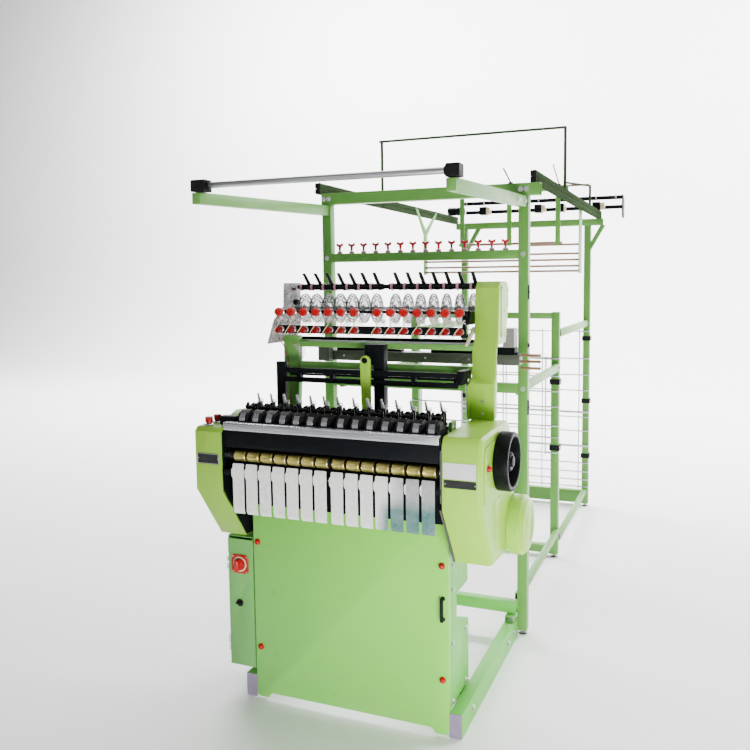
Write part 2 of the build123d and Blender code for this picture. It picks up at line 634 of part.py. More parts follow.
for name, xs in (("left", LEVERS[:7]), ("right", LEVERS[7:])):
    with BuildPart(HOME) as lever_bank:
        # seven release levers on one sleeve that turns on the bar
        x0, x1 = xs[0] - 43, xs[-1] + 16
        rod_x(x0, x1, BAR_Y, BAR_Z, 12)
        for x in xs:
            with Locations(Location((x, BAR_Y - 28.8, BAR_Z + 27.8), (46, 0, 0))):
                Cylinder(4, 62)
        rod_x(x0 - 2, x1 + 2, BAR_Y, BAR_Z, BAR_R + RUN, Mode.SUBTRACT)
    lever_bank.part.label = "lever_bank_" + name
    export_step(lever_bank.part, "parts/lever_bank_" + name + ".step")

with BuildPart(HOME) as tension_units:
    # dark stems and pressure discs of the yarn tensioners
    for x in CAPS:
        rod_y(x, 150.2, 171.8, 1349, 4)
        rod_y(x, 153, 156, 1349, 12)
        rod_y(x, 158, 161, 1349, 12)
        rod_y(x, 146.2, 167.8, 1287, 4)
        rod_y(x, 150, 153, 1287, 11)
tension_units.part.label = "tension_units"
export_step(tension_units.part, "parts/tension_units.step")

with BuildPart(HOME) as tension_caps:
    # red ribbed nuts, an upper and a lower row
    for x in CAPS:
        rod_y(x, 132, 150, 1349, 15)
        rod_y(x, 130, 146, 1287, 13)
    chamfer(tension_caps.part.faces().filter_by(Axis.Y).group_by(Axis.Y)[0].edges(), 2)
tension_caps.part.label = "tension_caps"
export_step(tension_caps.part, "parts/tension_caps.step")

with BuildPart() as yarn_lever:
    # cream feeler lever beside the column, on its own stub pivot
    with BuildSketch(side_plane(366)):
        with BuildLine():
            Polyline((150, 1246), (158, 1240), (242, 1281), (232, 1298), close=True)
        make_face()
        with Locations((236, 1289)):
            Circle(10)
    extrude(amount=8)
    with BuildSketch(side_plane(374)):
        with Locations((236, 1289)):
            Circle(5)
    extrude(amount=15)
yarn_lever.part.label = "yarn_lever"
export_step(yarn_lever.part, "parts/yarn_lever.step")

# ----------------------------------------------------------------- yarn frame
POSTS = [(413, Y_F, TOP), (-453, Y_F, TOP), (370, Y_M, 1290), (-403, Y_M, 1290), (385, Y_R, TOP + 8), (-420, Y_R, TOP + 8)]
with BuildPart(HOME) as creel_posts:
    for x, y, z in POSTS:
        tube(x - POST / 2, x + POST / 2, y - POST / 2, y + POST / 2, 16, z - 0.3, "z")
creel_posts.part.label = "creel_posts"
export_step(creel_posts.part, "parts/creel_posts.step")

with BuildPart(HOME) as creel_beams:
    tube(-476, 478, Y_F - 20, Y_F + 20, TOP, TOP + 48, "x")
    tube(-476, 478, Y_R - 20, Y_R + 20, TOP + 8, TOP + 48, "x")
    tube(-432.7, 392.7, Y_F - 20, Y_F + 12, 1538, 1574, "x")       # carries the thumb screws
    tube(-432.7, 392.7, Y_F - 20, Y_F + 12, 1000, 1040, "x")
    tube(-382.7, 349.7, Y_M - 20, Y_M + 20, 1255, 1286, "x")
    tube(-382.7, 349.7, Y_M - 20, Y_M + 20, 20, 60, "x")
    tube(-399.7, 364.7, Y_R - 20, Y_R + 20, 20, 100, "x")
    # knee braces of the rear posts
    for x, d in ((385 + POST / 2 + 0.3, 1), (-420 + POST / 2 + 0.3, 1)):
        with BuildSketch(front_plane(Y_R + 12)):
            with BuildLine():
                Polyline((x, 1640), (x, 1690), (x + 58 * d, TOP + 7.8), (x + 88 * d, TOP + 7.8), close=True)
            make_face()
        extrude(amount=24)
    # cross rail on the side channels with three flat bars hanging from it
    tube(-505, 464, 1490, 1514, 1879.8, 1904, "x")
    for x in (-70, 173, 413):
        bar(x - 12, x + 12, 1514.2, 1518, 1624, 1904)
    # hangers from the side channels down to the ends of the guide rods
    bar(436.3, 439.7, 2000, 2100, 1490, 1860)
    with BuildSketch(side_plane(-480.6)):
        with BuildLine():
            Polyline((1926, 1870), (1958, 1870), (2090, 1760), (2100, 1760), (2276, 1870), (2300, 1870), (2118, 1725), (2118, 1490),
                     (2060, 1490), (2060, 1725), close=True)
        make_face()
    extrude(amount=4)
creel_beams.part.label = "creel_beams"
export_step(creel_beams.part, "parts/creel_beams.step")

with BuildPart(HOME) as creel_side_members:
    # side rails, front to middle and middle to rear, upper and lower
    for x0, x1 in ((374, 394), (-423, -403)):
        for y0, y1, z1 in ((Y_F + 20.3, Y_M - 20.3, 1026), (Y_F + 20.3, Y_M - 20.3, 156),
                           (Y_M + 20.3, Y_R - 20.3, 1200), (Y_M + 20.3, Y_R - 20.3, 118)):
            tube(x0, x1, y0, y1, z1 - 38, z1, "y")
    # arms from the front posts to the yarn guide tube, 3 degrees down
    for x in (397, -469):
        with BuildSketch(side_plane(x)):
            with BuildLine():
                Polyline((Y_F - 20.3, 1738), (Y_F - 20.3, 1782), (-84, 1745), (-124, 1742), (-124, 1706), (-84, 1708), close=True)
            make_face()
        extrude(amount=30)
creel_side_members.part.label = "creel_side_members"
export_step(creel_side_members.part, "parts/creel_side_members.step")

with BuildPart(HOME) as side_channels:
    # two stacked struts along each side, on top of the cross beams
    for x0, x1 in ((440, 464), (-505, -481)):
        for z0 in (TOP + 48.2, TOP + 72.4):
            tube(x0, x1, 778.5, 2740, z0, z0 + 22, "y", 1.5)
side_channels.part.label = "side_channels"
export_step(side_channels.part, "parts/side_channels.step")

with BuildPart(HOME) as front_tube:
    rod_x(-420.2, 395.2, -104, 1766, 10)
front_tube.part.label = "front_tube"
export_step(front_tube.part, "parts/front_tube.step")

with BuildPart(HOME) as thumb_screws:
    # fourteen butterfly screws standing on the upper rail
    for i in range(HEADS):
        x = -398 + 56.6 * i
        rod_z(x, Y_F - 4, 1574.2, 1584, 11)
        rod_z(x, Y_F - 4, 1584, 1606, 4.5)
        bar(x - 15, x + 15, Y_F - 8, Y_F, 1606, 1619)
thumb_screws.part.label = "thumb_screws"
export_step(thumb_screws.part, "parts/thumb_screws.step")

with BuildPart(HOME) as top_yarn_frame:
    # light frame standing on the side channels
    for x in (-490, 452):
        rod_z(x, 1480, 1879.8, 2172, 7)
    rod_x(-498, 460, 1466, 2168, 6)
    rod_z(452, 2300, 1879.8, 1996, 7)
    with Locations(Location((452, (1480 + 2300) / 2, (1914 + 1990) / 2), (-90 + 5.3, 0, 0))):
        Cylinder(5, 824)
top_yarn_frame.part.label = "top_yarn_frame"
export_step(top_yarn_frame.part, "parts/top_yarn_frame.step")

with BuildPart(HOME) as guide_rods:
    # brown yarn guide rods at the back
    for z in (1504, 1532, 1566):
        rod_x(-476.3, 436, 2080, z, 6)
    rod_x(150, 436, 2080, 1600, 6)
    rod_x(150, 436, 2080, 1650, 6)
    rod_x(-90, 433, 1524.2, 1634, 6)
guide_rods.part.label = "guide_rods"
export_step(guide_rods.part, "parts/guide_rods.step")

with BuildPart(HOME) as rear_yarn_unit:
    # black measuring unit lying across the channels
    bar(-410, 600, 2600, 2616, 1940, 1962)
    bar(-410, 600, 2680, 2696, 1890, 1912)
    bar(600.2, 606, 2590, 2700, 1830, 1966)
    for x in (-300, 60, 200, 420):
        bar(x, x + 46, 2617, 2679, 1880, 1930)
    rod_x(-520, -410.4, 2650, 1910, 26)
rear_yarn_unit.part.label = "rear_yarn_unit"
export_step(rear_yarn_unit.part, "parts/rear_yarn_unit.step")

with BuildPart(HOME) as stop_motion_unit:
    # grey warp stop unit behind the loom
    bar(-400, 430, 640, 700, 1128, 1168)
    bar(-410, -360, 600, 639, 1128, 1190)
stop_motion_unit.part.label = "stop_motion_unit"
export_step(stop_motion_unit.part, "parts/stop_motion_unit.step")

with BuildPart(HOME) as wire_racks:
    # welded wire racks on the rear posts and between the middle posts
    for z in (1130, 956, 852, 752, 581, 491, 284, 226, 174, 129):
        rod_x(-445, 410, Y_R - 25.5, z, 4)
    for z in (613, 394):
        rod_x(-445, 410, Y_R - 27.5, z, 7)
    for x in (-371, -130, 110, 345):
        rod_z(x, Y_R - 31, 120, 1140, 3.5)
    for z in (1050, 960, 880):
        rod_x(-425, 392, Y_M - 24.5, z, 4)
    for z in (800, 700, 640, 560):
        rod_x(-425, 392, Y_M - 24.5, z, 4)
    for x in (-360, -130, 100, 325):
        rod_z(x, Y_M - 30, 550, 1060, 3.5)
    # clamps that hold them on the posts
    for x, y, z in ((370, Y_M, 930), (370, Y_M, 585), (-403, Y_M, 930), (-403, Y_M, 585),
                    (385, Y_R, 1085), (385, Y_R, 685), (385, Y_R, 330), (-420, Y_R, 1085), (-420, Y_R, 685), (-420, Y_R, 330)):
        bar(x - 26, x + 26, y - 26, y + 26, z - 14, z + 14)
        bar(x - 20.3, x + 20.3, y - 20.3, y + 20.3, z - 15, z + 15, Mode.SUBTRACT)
wire_racks.part.label = "wire_racks"
export_step(wire_racks.part, "parts/wire_racks.step")
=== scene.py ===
import json
import math
import random

import bmesh
import bpy
from mathutils import Matrix, Vector

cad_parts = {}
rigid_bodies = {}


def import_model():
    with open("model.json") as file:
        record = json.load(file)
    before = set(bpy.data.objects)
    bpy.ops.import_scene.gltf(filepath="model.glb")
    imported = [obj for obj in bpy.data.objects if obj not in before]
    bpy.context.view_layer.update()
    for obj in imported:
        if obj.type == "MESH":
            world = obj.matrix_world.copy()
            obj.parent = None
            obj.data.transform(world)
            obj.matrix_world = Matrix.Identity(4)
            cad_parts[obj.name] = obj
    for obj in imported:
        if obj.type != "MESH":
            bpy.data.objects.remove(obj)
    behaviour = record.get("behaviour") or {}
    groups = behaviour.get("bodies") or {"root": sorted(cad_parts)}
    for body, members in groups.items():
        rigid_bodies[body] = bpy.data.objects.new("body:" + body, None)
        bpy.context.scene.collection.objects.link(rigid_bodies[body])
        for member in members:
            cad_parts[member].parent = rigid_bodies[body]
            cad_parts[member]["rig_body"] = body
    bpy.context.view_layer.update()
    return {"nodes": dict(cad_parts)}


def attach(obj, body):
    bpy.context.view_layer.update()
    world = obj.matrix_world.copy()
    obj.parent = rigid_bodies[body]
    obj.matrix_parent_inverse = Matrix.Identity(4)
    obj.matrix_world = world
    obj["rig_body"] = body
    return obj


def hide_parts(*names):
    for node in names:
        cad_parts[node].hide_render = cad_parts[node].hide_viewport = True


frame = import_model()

# Machine coordinates are in millimetres: x = 0 midway between the housings,
# y = 0 at the front panel, z = 0 on the floor.  The row frame is shifted.
CX, CY = -43.0, -1305.0
HEADS, PITCH, MID_GAP, XC = 14, 50.0, 57.0, 11.5
STATIONS = [XC - MID_GAP / 2 - PITCH * (6 - i) for i in range(7)] + [XC + MID_GAP / 2 + PITCH * i for i in range(7)]
CAPS = [-317 + 48.8 * i for i in range(7)] + [61 + 48.3 * i for i in range(7)]
DISCS = [-309 + 48.6 * i for i in range(7)] + [55.5 + 48.1 * i for i in range(7)]
LEVERS = [-285 + 46.7 * i for i in range(7)] + [74 + 47.1 * i for i in range(7)]
SHAFT = (60.0, 897.0)
TAKE = (-108.0, 888.0)
SLEY = (12.0, 1000.0)
FEED = (322.0, 1356.0)
BAR = (320.0, 1434.0)
FRONT = -129.0
OUT_R, OUT_L = 502.0, -486.0


def V(x, y, z):
    return Vector(((x + CX) / 1000, (y + CY) / 1000, z / 1000))


# ------------------------------------------------------------------- materials
class Tree:
    """A small helper over one material's nodes."""

    def __init__(self, name):
        self.mat = bpy.data.materials.new(name)
        self.mat.use_nodes = True
        self.t = self.mat.node_tree
        self.t.nodes.clear()
        self.out = self.t.nodes.new("ShaderNodeOutputMaterial")
        self.b = self.t.nodes.new("ShaderNodeBsdfPrincipled")
        self.t.links.new(self.b.outputs[0], self.out.inputs[0])
        self.co = self.t.nodes.new("ShaderNodeTexCoord").outputs["Object"]

    def link(self, a, b):
        self.t.links.new(a, b)

    def node(self, kind, **values):
        n = self.t.nodes.new(kind)
        for k, v in values.items():
            setattr(n, k, v)
        return n

    def noise(self, scale, detail=3.0, rough=0.55, stretch=None, distort=0.0):
        co = self.co
        if stretch:
            m = self.node("ShaderNodeMapping")
            m.inputs["Scale"].default_value = stretch
            self.link(co, m.inputs[0])
            co = m.outputs[0]
        n = self.node("ShaderNodeTexNoise")
        n.inputs["Scale"].default_value = scale
        n.inputs["Detail"].default_value = detail
        n.inputs["Roughness"].default_value = rough
        n.inputs["Distortion"].default_value = distort
        self.link(co, n.inputs["Vector"])
        return n.outputs["Fac"]

    def ramp(self, fac, stops):
        r = self.node("ShaderNodeValToRGB")
        e = r.color_ramp.elements
        while len(e) < len(stops):
            e.new(0.5)
        for el, (p, c) in zip(e, stops):
            el.position = p
            el.color = (*c, 1) if len(c) == 3 else c
        self.link(fac, r.inputs[0])
        return r.outputs[0]

    def remap(self, fac, a, b, c, d):
        m = self.node("ShaderNodeMapRange")
        for i, v in zip(("From Min", "From Max", "To Min", "To Max"), (a, b, c, d)):
            m.inputs[i].default_value = v
        self.link(fac, m.inputs["Value"])
        return m.outputs[0]

    def mix(self, fac, a, b, mode="MIX"):
        m = self.node("ShaderNodeMix", data_type="RGBA", blend_type=mode)
        if isinstance(fac, (int, float)):
            m.inputs[0].default_value = fac
        else:
            self.link(fac, m.inputs[0])
        for s, v in ((6, a), (7, b)):
            if isinstance(v, tuple):
                m.inputs[s].default_value = (*v, 1)
            else:
                self.link(v, m.inputs[s])
        return m.outputs[2]

    def bump(self, height, strength, distance, under=None):
        n = self.node("ShaderNodeBump")
        n.inputs["Strength"].default_value = strength
        n.inputs["Distance"].default_value = distance
        self.link(height, n.inputs["Height"])
        if under is not None:
            self.link(under, n.inputs["Normal"])
        return n.outputs[0]

    def xyz(self):
        s = self.node("ShaderNodeSeparateXYZ")
        self.link(self.co, s.inputs[0])
        return s.outputs

    def math(self, op, a, b=0.0):
        m = self.node("ShaderNodeMath", operation=op)
        for i, v in ((0, a), (1, b)):
            if isinstance(v, (int, float)):
                m.inputs[i].default_value = v
            else:
                self.link(v, m.inputs[i])
        return m.outputs[0]


def paint(name, base, rough=0.34, coat=0.10, dirt=0.10, grain=0.05, dust=True, spec=0.22):
    """Machine paint: slight cloudiness, orange peel, dust low down and in a few streaks."""
    t = Tree(name)
    lo = tuple(c * (1 - 0.10) for c in base)
    hi = tuple(min(1, c * 1.07) for c in base)
    cloud = t.ramp(t.noise(3.2, 4), [(0.32, lo), (0.70, hi)])
    speck = t.remap(t.noise(95, 2), 0.30, 0.72, 0.0, 0.10)
    col = t.mix(speck, cloud, tuple(c * 0.82 for c in base))
    if dust:
        z = t.xyz()[2]
        low = t.remap(z, 0.0, 0.42, 1.0, 0.0)
        patch = t.remap(t.noise(9, 5, 0.65), 0.42, 0.72, 0.0, 1.0)
        k = t.math("MULTIPLY", t.math("MULTIPLY", low, patch), dirt * 3)
        col = t.mix(k, col, tuple(0.75 * c + 0.05 * (0.3 + c) for c in base))
        grease = t.remap(t.noise(2.3, 5, 0.6, distort=0.6), 0.60, 0.82, 0.0, dirt * 2.2)
        col = t.mix(grease, col, tuple(0.72 * c for c in base))
    t.link(col, t.b.inputs["Base Color"])
    t.link(t.remap(t.noise(14, 4), 0.3, 0.7, rough - 0.05, rough + 0.09), t.b.inputs["Roughness"])
    peel = t.bump(t.noise(260, 1.5), grain, 0.0006)
    wave = t.bump(t.noise(6.5, 1), 0.10, 0.002, peel)
    t.link(wave, t.b.inputs["Normal"])
    t.b.inputs["Coat Weight"].default_value = coat
    t.b.inputs["Coat Roughness"].default_value = 0.12
    t.b.inputs["Specular IOR Level"].default_value = spec
    return t.mat


def plastic(name, base, rough=0.3, coat=0.08, grain=0.06, mottle=0.10, spec=0.30):
    t = Tree(name)
    col = t.ramp(t.noise(22, 3), [(0.3, tuple(c * (1 - mottle) for c in base)), (0.7, tuple(min(1, c * (1 + mottle)) for c in base))])
    rub = t.remap(t.noise(60, 4, 0.7), 0.55, 0.8, 0.0, 0.22)
    col = t.mix(rub, col, tuple(min(1, c * 1.25 + 0.004) for c in base))
    t.link(col, t.b.inputs["Base Color"])
    t.link(t.remap(t.noise(45, 3), 0.3, 0.7, rough - 0.06, rough + 0.10), t.b.inputs["Roughness"])
    t.link(t.bump(t.noise(420, 2), grain, 0.0004), t.b.inputs["Normal"])
    t.b.inputs["Coat Weight"].default_value = coat
    t.b.inputs["Coat Roughness"].default_value = 0.15
    t.b.inputs["Specular IOR Level"].default_value = spec
    return t.mat


def metal(name, base, rough=0.3, stretch=(1, 60, 60), scale=14, line=0.25, tint=0.10):
    """Turned or brushed metal: fine lines along one axis, with oily patches."""
    t = Tree(name)
    lines = t.noise(scale, 3, 0.6, stretch=stretch)
    col = t.ramp(lines, [(0.3, tuple(c * (1 - tint) for c in base)), (0.7, tuple(min(1, c * (1 + tint)) for c in base))])
    patch = t.remap(t.noise(11, 4), 0.45, 0.75, 0.0, 0.30)
    col = t.mix(patch, col, tuple(c * 0.72 for c in base))
    t.link(col, t.b.inputs["Base Color"])
    a = t.remap(lines, 0.3, 0.7, rough - 0.08, rough + 0.12)
    t.link(a, t.b.inputs["Roughness"])
    t.link(t.bump(lines, line, 0.0004), t.b.inputs["Normal"])
    t.b.inputs["Metallic"].default_value = 1.0
    return t.mat


def glassy(name, base, alpha=0.4, rough=0.12):
    t = Tree(name)
    col = t.ramp(t.noise(18, 3), [(0.35, tuple(c * 0.9 for c in base)), (0.7, base)])
    t.link(col, t.b.inputs["Base Color"])
    t.link(t.remap(t.noise(30, 4), 0.3, 0.7, rough, rough + 0.16), t.b.inputs["Roughness"])
    t.link(t.remap(t.noise(26, 3), 0.35, 0.7, alpha - 0.06, alpha + 0.08), t.b.inputs["Alpha"])
    t.link(t.bump(t.noise(50, 2), 0.05, 0.0006), t.b.inputs["Normal"])
    t.b.inputs["Coat Weight"].default_value = 0.1
    t.b.inputs["Specular IOR Level"].default_value = 0.35
    return t.mat


def panel_green():
    """The big front panel: the same paint, with a painted light gradient, a little lighter and bluer towards its lower
    left.
    """
    t = Tree("panel_green")
    x, y, z = t.xyz()
    # painted light: this gradient from lower left to upper right stands in for the light falling across the panel
    light_falloff = t.math("ADD", t.remap(x, -0.40, 0.32, 0.0, 0.55), t.remap(z, 0.0, 0.75, 0.0, 0.45))
    painted_light_wash = t.mix(light_falloff, (0.125, 0.430, 0.070), (0.175, 0.540, 0.042))
    cloud = t.remap(t.noise(2.6, 4), 0.3, 0.7, 0.0, 0.16)
    col = t.mix(cloud, painted_light_wash, (0.20, 0.56, 0.065))
    grease = t.remap(t.noise(3.4, 5, 0.62, distort=0.5), 0.60, 0.80, 0.0, 0.16)
    col = t.mix(grease, col, (0.13, 0.36, 0.05))
    low = t.math("MULTIPLY", t.remap(z, 0.0, 0.22, 1.0, 0.0), t.remap(t.noise(12, 5, 0.65), 0.4, 0.7, 0.0, 0.35))
    col = t.mix(low, col, (0.24, 0.38, 0.12))
    t.link(col, t.b.inputs["Base Color"])
    t.link(t.remap(t.noise(9, 4), 0.3, 0.7, 0.26, 0.42), t.b.inputs["Roughness"])
    peel = t.bump(t.noise(260, 1.5), 0.05, 0.0006)
    t.link(t.bump(t.noise(3.2, 1), 0.22, 0.006, peel), t.b.inputs["Normal"])
    t.b.inputs["Coat Weight"].default_value = 0.12
    t.b.inputs["Coat Roughness"].default_value = 0.14
    t.b.inputs["Specular IOR Level"].default_value = 0.25
    return t.mat


PANEL = panel_green()
HOUSING = paint("housing_green", (0.262, 0.500, 0.036), rough=0.34)
# painted shade: a darker copy of the housing paint for the left housing, standing in for the light falling off from the
# right; both housings carry the same paint
HOUSING_LEFT_SHADED = paint("housing_green_left_shaded", (0.190, 0.360, 0.032), rough=0.36, coat=0.06)
FRAME_GREEN = paint("frame_green", (0.110, 0.290, 0.055), rough=0.40, coat=0.06)
LEG_GREEN = paint("leg_green", (0.110, 0.430, 0.060), rough=0.40, coat=0.06)
CHANNEL_GREEN = paint("channel_green", (0.036, 0.056, 0.028), rough=0.50, coat=0.0, spec=0.0)
DEEP_GREEN = paint("cabinet_green", (0.120, 0.340, 0.080), rough=0.42, coat=0.06)
BLACK_PAINT = paint("black_paint", (0.003, 0.004, 0.005), rough=0.46, coat=0.0, dirt=0.02, spec=0.07)
BLACK_CAST = plastic("black_cast", (0.007, 0.007, 0.008), rough=0.38, coat=0.0, grain=0.16, mottle=0.2, spec=0.13)
BLACK_GLOSS = plastic("black_gloss", (0.003, 0.004, 0.004), rough=0.24, coat=0.0, spec=0.16)
BLACK_MATTE = plastic("black_matte", (0.008, 0.008, 0.009), rough=0.52, coat=0.0, grain=0.14, spec=0.08)
RED = plastic("cap_red", (0.330, 0.002, 0.002), rough=0.30, coat=0.05, spec=0.25)
DARK_RED = plastic("cap_dark_red", (0.190, 0.001, 0.002), rough=0.32, coat=0.05, spec=0.25)
PINK = plastic("screw_red", (0.420, 0.008, 0.016), rough=0.34, coat=0.05, spec=0.25)
PALE_PINK = plastic("collar_pink", (0.560, 0.230, 0.300), rough=0.36, coat=0.05)
CREAM = plastic("cream", (0.62, 0.57, 0.36), rough=0.34, coat=0.05)
GREY_RUBBER = plastic("grey_plug", (0.190, 0.155, 0.225), rough=0.55, coat=0.0, grain=0.2)
GREY_PAINT = paint("grey_paint", (0.062, 0.064, 0.056), rough=0.44, coat=0.05, dirt=0.05)
STEEL = metal("steel", (0.56, 0.56, 0.57), rough=0.28)
STEEL_Z = metal("steel_z", (0.60, 0.60, 0.61), rough=0.26, stretch=(60, 60, 1))
TUBE_METAL = metal("tube_metal", (0.46, 0.46, 0.47), rough=0.34, stretch=(1, 80, 80), tint=0.16)
BRASS = metal("brass", (0.58, 0.49, 0.140), rough=0.36, stretch=(90, 4, 4), tint=0.16, line=0.4)
CHROME_BAR = metal("bar_chrome", (0.70, 0.70, 0.73), rough=0.24, stretch=(1, 70, 70), scale=9, tint=0.14)
ZINC = metal("zinc_wire", (0.50, 0.51, 0.52), rough=0.40, stretch=(6, 6, 6), tint=0.12, line=0.1)
CLEAR = glassy("clear_sheet", (0.110, 0.076, 0.076), alpha=0.80, rough=0.20)
CLEAR_THIN = glassy("clear_guard", (0.42, 0.42, 0.38), alpha=0.26, rough=0.14)
DISC = glassy("disc_clear", (0.120, 0.122, 0.122), alpha=0.46, rough=0.18)
DISC_RIM = glassy("disc_rim", (0.085, 0.088, 0.088), alpha=0.62, rough=0.16)
BLACK_WHEEL = plastic("wheel_black", (0.0035, 0.0045, 0.0045), rough=0.36, coat=0.0, mottle=0.05, spec=0.05)
BELT = plastic("belt", (0.022, 0.020, 0.018), rough=0.62, coat=0.0, grain=0.3)
PORCELAIN = plastic("eye_porcelain", (0.70, 0.68, 0.60), rough=0.2, coat=0.5)
BEIGE = plastic("beige", (0.62, 0.48, 0.30), rough=0.42, coat=0.1)


def brown_rod():
    t = Tree("brown_rod")
    lines = t.noise(16, 3, 0.6, stretch=(1, 30, 30))
    col = t.ramp(lines, [(0.3, (0.120, 0.050, 0.022)), (0.7, (0.270, 0.125, 0.062))])
    t.link(col, t.b.inputs["Base Color"])
    t.link(t.remap(lines, 0.3, 0.7, 0.26, 0.44), t.b.inputs["Roughness"])
    t.link(t.bump(lines, 0.15, 0.0004), t.b.inputs["Normal"])
    t.b.inputs["Coat Weight"].default_value = 0.4
    return t.mat


BROWN = brown_rod()


def plate_white():
    """Bright delivery plates; the right-hand ones still carry their pale blue film low down."""
    t = Tree("plate_white")
    x, y, z = t.xyz()
    lines = t.noise(10, 3, 0.6, stretch=(60, 60, 1))
    col = t.ramp(lines, [(0.3, (0.62, 0.605, 0.595)), (0.7, (0.78, 0.77, 0.765))])
    low = t.remap(z, 0.768, 0.812, 1.0, 0.0)
    right = t.remap(t.math("ADD", x, t.remap(z, 0.70, 0.80, 0.02, 0.0)), 0.135, 0.175, 0.0, 1.0)
    ragged = t.remap(t.noise(18, 3), 0.35, 0.65, 0.78, 1.0)
    k = t.math("MULTIPLY", t.math("MULTIPLY", low, right), ragged)
    grey = t.remap(x, 0.160, 0.225, 0.0, 0.78)
    col = t.mix(grey, col, (0.190, 0.195, 0.210))
    col = t.mix(k, col, (0.052, 0.140, 0.130))
    t.link(col, t.b.inputs["Base Color"])
    t.link(t.remap(t.noise(22, 4), 0.3, 0.7, 0.20, 0.36), t.b.inputs["Roughness"])
    t.link(t.bump(lines, 0.10, 0.0003), t.b.inputs["Normal"])
    t.b.inputs["Metallic"].default_value = 0.1
    t.b.inputs["Specular IOR Level"].default_value = 0.35
    return t.mat


PLATE = plate_white()


def bare_label(name, base, border):
    """A plain plate: satin field."""
    t = Tree(name)
    col = t.ramp(t.noise(30, 3), [(0.3, tuple(c * 0.92 for c in base)), (0.7, base)])
    t.link(col, t.b.inputs["Base Color"])
    t.link(t.remap(t.noise(40, 3), 0.3, 0.7, 0.28, 0.44), t.b.inputs["Roughness"])
    t.link(t.bump(t.noise(200, 2), 0.05, 0.0004), t.b.inputs["Normal"])
    t.b.inputs["Metallic"].default_value = 0.15
    return t.mat


LABEL_PALE = bare_label("label_pale", (0.60, 0.60, 0.62), 0)
LABEL_DARK = bare_label("label_dark", (0.010, 0.010, 0.011), 0)
UNIT_GREY = bare_label("unit_grey", (0.240, 0.215, 0.225), 0)


# -------------------------------------------------------------- mesh utilities
def finish_mesh(obj, angle=35):
    for p in obj.data.polygons:
        p.use_smooth = True
    obj.data.set_sharp_from_angle(angle=math.radians(angle))
    return obj


def new_object(name, bm, mats, angle=35):
    me = bpy.data.meshes.new(name)
    bmesh.ops.recalc_face_normals(bm, faces=bm.faces)
    bm.to_mesh(me)
    bm.free()
    obj = bpy.data.objects.new(name, me)
    bpy.context.scene.collection.objects.link(obj)
    for m in mats if isinstance(mats, (list, tuple)) else [mats]:
        me.materials.append(m)
    return finish_mesh(obj, angle)


def bevelled(obj, width, segments=2, angle=35):
    """Applies a bevel to obj's sharp edges; width in mm."""
    mod = obj.modifiers.new("edge", "BEVEL")
    mod.width = width / 1000
    mod.segments = segments
    mod.limit_method = "ANGLE"
    mod.angle_limit = math.radians(angle)
    mod.use_clamp_overlap = True
    mod.harden_normals = False
    dg = bpy.context.evaluated_depsgraph_get()
    me = bpy.data.meshes.new_from_object(obj.evaluated_get(dg))
    obj.modifiers.clear()
    obj.data = me
    return finish_mesh(obj, angle)


def refine(node, mat, width=1.5, segments=2, angle=35):
    """A finished copy of a CAD node: clean faces and rounded edges, riding where the node rides."""
    src = frame["nodes"][node]
    bm = bmesh.new()
    bm.from_mesh(src.data)
    bmesh.ops.remove_doubles(bm, verts=bm.verts, dist=2e-6)
    bmesh.ops.dissolve_limit(bm, angle_limit=math.radians(1.0), verts=bm.verts, edges=bm.edges)
    obj = new_object(node + "_finish", bm, mat)
    if width:
        bevelled(obj, width, segments, angle)
    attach(obj, src["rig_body"])
    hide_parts(node)
    return obj


def give(node, mat):
    """Assigns a material to a CAD node that stays as it is."""
    o = frame["nodes"][node]
    o.data.materials.clear()
    o.data.materials.append(mat)


